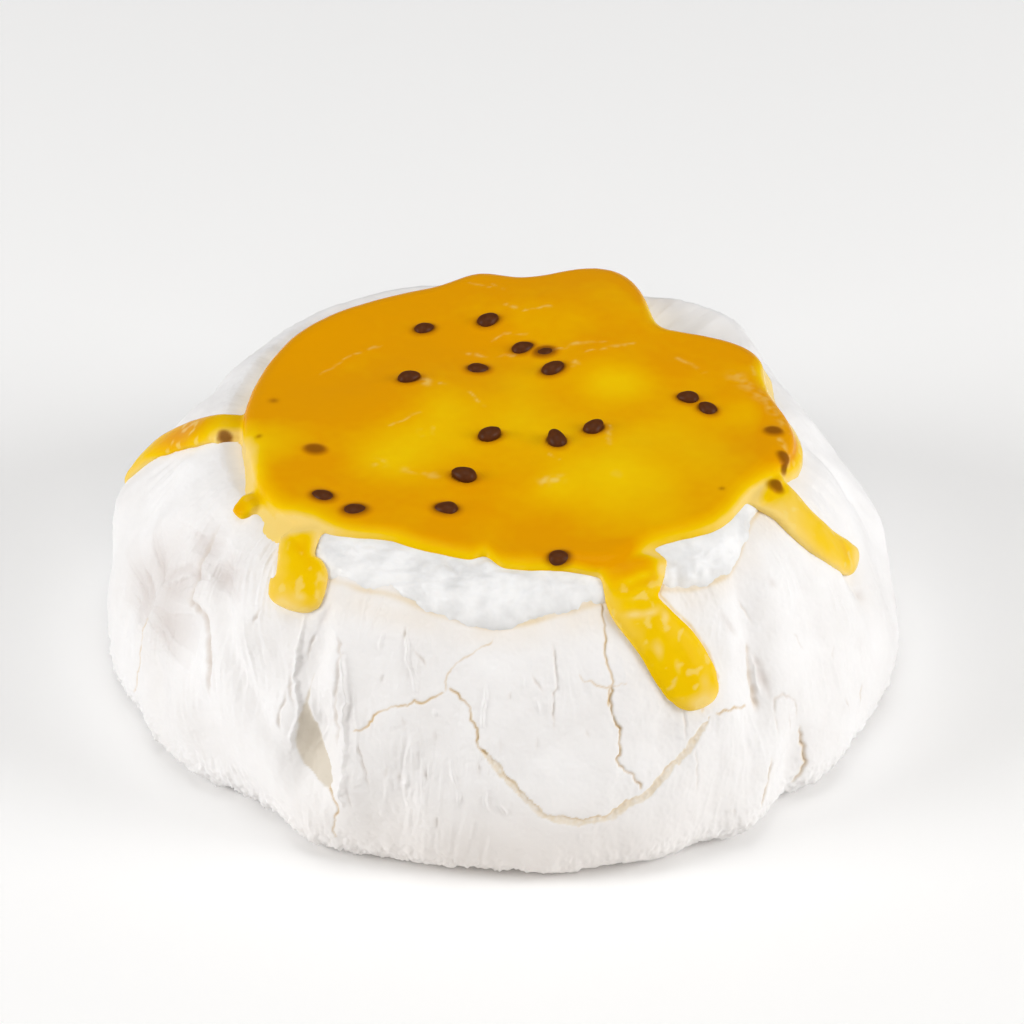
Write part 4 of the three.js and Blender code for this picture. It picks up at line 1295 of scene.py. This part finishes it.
def makeSeeds():
    parts = []
    random = np.random.default_rng(80)
    along = np.linspace(0, np.pi, seed["along"])[1:-1, None]
    turn = np.linspace(0, 2 * np.pi, seed["around"], endpoint=False)[None, :]
    for (_, _, heading, tipped, size, sunk), (place, normal) in zip(seeds, seedPlaces):
        point, long, wide = [
            seed[name][0] + seed[name][1] * random.random() for name in ("point", "long", "wide")]
        long *= size * seed["length"] / 2
        wide *= size * seed["width"] / 2
        girth = np.sin(along) * (1 - point * np.cos(along))
        a = long * np.cos(along) * np.ones_like(turn)
        b = wide * girth * np.cos(turn)
        c = size * seed["height"] / 2 * girth * np.sin(turn)
        rings = np.stack([a, b, c], axis=-1)
        share, cell = seed["uneven"]
        bumps = softNoise(rings * [1, 2, 2], cell, int(random.integers(1000)))
        rings *= 1 + share * bumps[..., None]
        axes = seedAxes(heading, tipped, normal)
        sinking = seed["sunk"] + seed["give"] * sunk
        sinking += seed["drowned"] * float(ramp(sunk, *seed["drownFrom"]))
        place = place - unit(normal + [0, 0, seed["upright"]]) * sinking
        tips = np.array([[long, 0, 0], [-long, 0, 0]]) @ axes + place
        parts.append(closeRings((rings @ axes + place)[:, ::-1], *tips))
    return makeMesh("passionFruitSeeds", *joined(parts))


seedPiece = addPiece("passionFruitSeeds", makeSeeds())
print("seeds made:", len(seeds))


def addNoise(tree, size, detail):         # an even pattern of a size in millimetres
    place = addNode(tree, "ShaderNodeTexCoord").outputs["Object"]
    inputs = {"Vector": place, "Scale": 1000 / size, "Detail": detail}
    return addNode(tree, "ShaderNodeTexNoise", inputs).outputs["Fac"]


def addTone(tree, value, stops):          # colours at places along a value, blended between
    tone = addNode(tree, "ShaderNodeValToRGB", {"Fac": value})
    elements = tone.color_ramp.elements
    elements[0].position, elements[-1].position = stops[0][0], stops[-1][0]
    for position, _ in stops[1:-1]:
        elements.new(position)
    for element, (_, code) in zip(elements, stops):
        element.color = linearColour(code)
    return tone.outputs["Color"]


def addLayer(tree, colour, share, code):  # a colour over another, by a share
    inputs = {0: share, 6: colour, 7: linearColour(code)}
    return addNode(tree, "ShaderNodeMix", inputs, data_type="RGBA").outputs[2]


def addBump(tree, height, strength, far):     # how far it rises, in millimetres
    inputs = {"Height": height, "Strength": strength, "Distance": far / 1000}
    return addNode(tree, "ShaderNodeBump", inputs).outputs["Normal"]


def addSurface(tree, inputs):
    shader = addNode(tree, "ShaderNodeBsdfPrincipled", inputs)
    addNode(tree, "ShaderNodeOutputMaterial", {"Surface": shader.outputs["BSDF"]})


def readMask(tree, name):
    return addNode(tree, "ShaderNodeAttribute", attribute_name=name).outputs["Fac"]


def paintMeringue():
    # French meringue, baked low: dry, chalky and matt, warm in its cracks where sugar browned.
    material, tree = newMaterial("bakedMeringue")
    colour = addTone(tree, addNoise(tree, 24, 3), ((0.35, "#eeeceb"), (0.68, "#f6f5f5")))
    # Over the crust's own tone go painted warm bounce light at the front foot, painted shade in the
    # creases, folds and valleys, the scoop's beige inside with painted shade, and the real syrup
    # stains, torn scar and browned cracks.
    for name, code in (
            ("paintedBounce", "#ebe6e2"), ("soak", "#efe6da"), ("shade", "#d4ccc8"), ("hollow", "#dad1c2"),
            ("scar", "#e9dcc6"), ("weep", "#e2c893"), ("crack", "#d2b27a")):
        colour = addLayer(tree, colour, readMask(tree, name), code)
    # Sugar grain of about 0.9 mm roughens the crust.
    addSurface(tree, {
        "Base Color": colour, "Roughness": 0.72, "IOR": 1.45, "Specular IOR Level": 0.35,
        "Subsurface Weight": 0.1, "Subsurface Radius": (1.0, 0.95, 0.9), "Subsurface Scale": 0.001,
        "Normal": addBump(tree, addNoise(tree, 0.9, 4), 0.35, 0.12)})
    return material


def paintCream():
    # Whipped dairy cream: white with a soft wet sheen, and light goes a little way in.
    material, tree = newMaterial("whippedDairyCream")
    colour = addTone(tree, addNoise(tree, 6, 3), ((0.35, "#e5e5e5"), (0.62, "#f5f5f5")))
    addSurface(tree, {
        "Base Color": colour, "Roughness": 0.42, "IOR": 1.45,
        "Subsurface Weight": 0.3, "Subsurface Radius": (1.0, 0.95, 0.9), "Subsurface Scale": 0.0015,
        "Normal": addBump(tree, addNoise(tree, 1.6, 3), 0.3, 0.2)})
    return material


def paintSauce():
    # Passion fruit pulp cooked with sugar: a clear wet gel, yellow where thin, orange where deep.
    material, tree = newMaterial("passionFruitGel")
    colour = addTone(tree, readMask(tree, "depth"), (
        (0, "#f5e2ae"), (0.12, "#f3d06a"), (0.3, "#f0c505"), (0.52, "#ebb100"), (0.72, "#e59c00")))
    # Pale cream smears, with painted highlights on the drips; painted shade round the seeds, with the
    # pulp specks' own colour; and the seeds seen through the gel.
    for name, amount, code in (("streak", 0.55, "#f2d67c"), ("halo", 0.75, "#a55c05"),
                               ("veil", 0.85, "#4f260c")):
        share = addNode(tree, "ShaderNodeMath", {0: readMask(tree, name), 1: amount},
                        operation="MULTIPLY").outputs[0]
        colour = addLayer(tree, colour, share, code)
    # Pulp strands of about 2 mm just ripple the surface.
    addSurface(tree, {
        "Base Color": colour, "Roughness": 0.2, "IOR": 1.38, "Specular IOR Level": 0.03,
        "Subsurface Weight": 0.08, "Subsurface Radius": (1.0, 0.7, 0.1), "Subsurface Scale": 0.001,
        "Normal": addBump(tree, addNoise(tree, 2.2, 2), 0.25, 0.2)})
    return material


def paintSeeds():
    # Passion fruit seed: hard, near-black brown shell under a wet film.
    material, tree = newMaterial("passionFruitSeedShell")
    mottle = addNoise(tree, 1.2, 3)
    colour = addTone(tree, mottle, ((0, "#401c04"), (1, "#63330b")))
    addSurface(tree, {
        "Base Color": colour, "Roughness": 0.5, "IOR": 1.45, "Specular IOR Level": 0.15,
        "Coat Weight": 0.04, "Coat Roughness": 0.2, "Normal": addBump(tree, mottle, 0.4, 0.15)})
    return material


for piece, material, node, slotName in (
        (meringuePiece, paintMeringue(), "meringue", "meringue"),
        (creamPiece, paintCream(), "cream", "cream"),
        (saucePiece, paintSauce(), "sauce", "sauce"),
        (seedPiece, paintSeeds(), "sauce", "sauce")):
    piece.data.materials.clear()
    piece.data.materials.append(material)
    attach(piece, "root")
    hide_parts(node)
print("finishes made")


studio = {
    "floor": "#ffffff",
    "sky": "#ffffff",
    "skyStrength": 0.2,
    "floorSize": 6.0,
}
lights = {                                # place, aim, width, power and colour, in metres and watts
    "left": ((-1.5, -0.35, 0.75), (0, 0, 0.03), 0.9, 15.4, "#ffffff"),
    "right": ((1.5, -0.35, 0.75), (0, 0, 0.03), 0.9, 15.6, "#ffffff"),
    "front": ((0.1, -1.7, 1.3), (0, 0, 0.03), 0.9, 5.8, "#fff3e4"),
    "top": ((0, 0.1, 1.9), (0, 0, 0), 1.4, 9, "#ffffff"),
}
view = {
    "sensor": 36,                         # with the lens, in millimetres
    "lens": 214.45,
    "clip": (0.05, 20),
    "place": (0.0021, -1.2099, 0.8553),
    "tilt": 56,                           # up from straight down, in degrees
}


def aim(thing, target):
    thing.rotation_euler = (Vector(target) - thing.location).to_track_quat("-Z", "Y").to_euler()


def makeStudio():
    scene = bpy.context.scene
    half = studio["floorSize"] / 2
    mesh = bpy.data.meshes.new("studioFloor")
    corners = [(-half, -half, 0), (half, -half, 0), (half, half, 0), (-half, half, 0)]
    mesh.from_pydata(corners, [], [(0, 1, 2, 3)])
    floor = addPiece("studioFloor", mesh)
    material, tree = newMaterial("paintedBoard")
    shader = addNode(tree, "ShaderNodeBsdfPrincipled", {
        "Base Color": linearColour(studio["floor"]), "Roughness": 0.8})
    addNode(tree, "ShaderNodeOutputMaterial", {"Surface": shader.outputs["BSDF"]})
    mesh.materials.append(material)
    world = bpy.data.worlds.new("studioSky")
    scene.world = world
    world.use_nodes = True
    world.node_tree.nodes.clear()
    sky = addNode(world.node_tree, "ShaderNodeBackground", {
        "Color": linearColour(studio["sky"]), "Strength": studio["skyStrength"]})
    addNode(world.node_tree, "ShaderNodeOutputWorld", {"Surface": sky.outputs["Background"]})
    for name, (place, target, width, power, code) in lights.items():
        data = bpy.data.lights.new(name, "AREA")
        data.shape = "DISK"
        data.size = width
        data.energy = power
        data.color = linearColour(code)[:3]
        light = addPiece(name, data)
        light.location = place
        aim(light, target)
    scene.view_settings.view_transform = "Standard"


def makeCamera():
    data = bpy.data.cameras.new("camera")
    data.sensor_width = view["sensor"]
    data.lens = view["lens"]
    data.clip_start, data.clip_end = view["clip"]
    camera = addPiece("camera", data)
    camera.location = view["place"]
    camera.rotation_euler = (math.radians(view["tilt"]), 0, 0)
    bpy.context.scene.camera = camera


makeStudio()
makeCamera()
print("studio made")
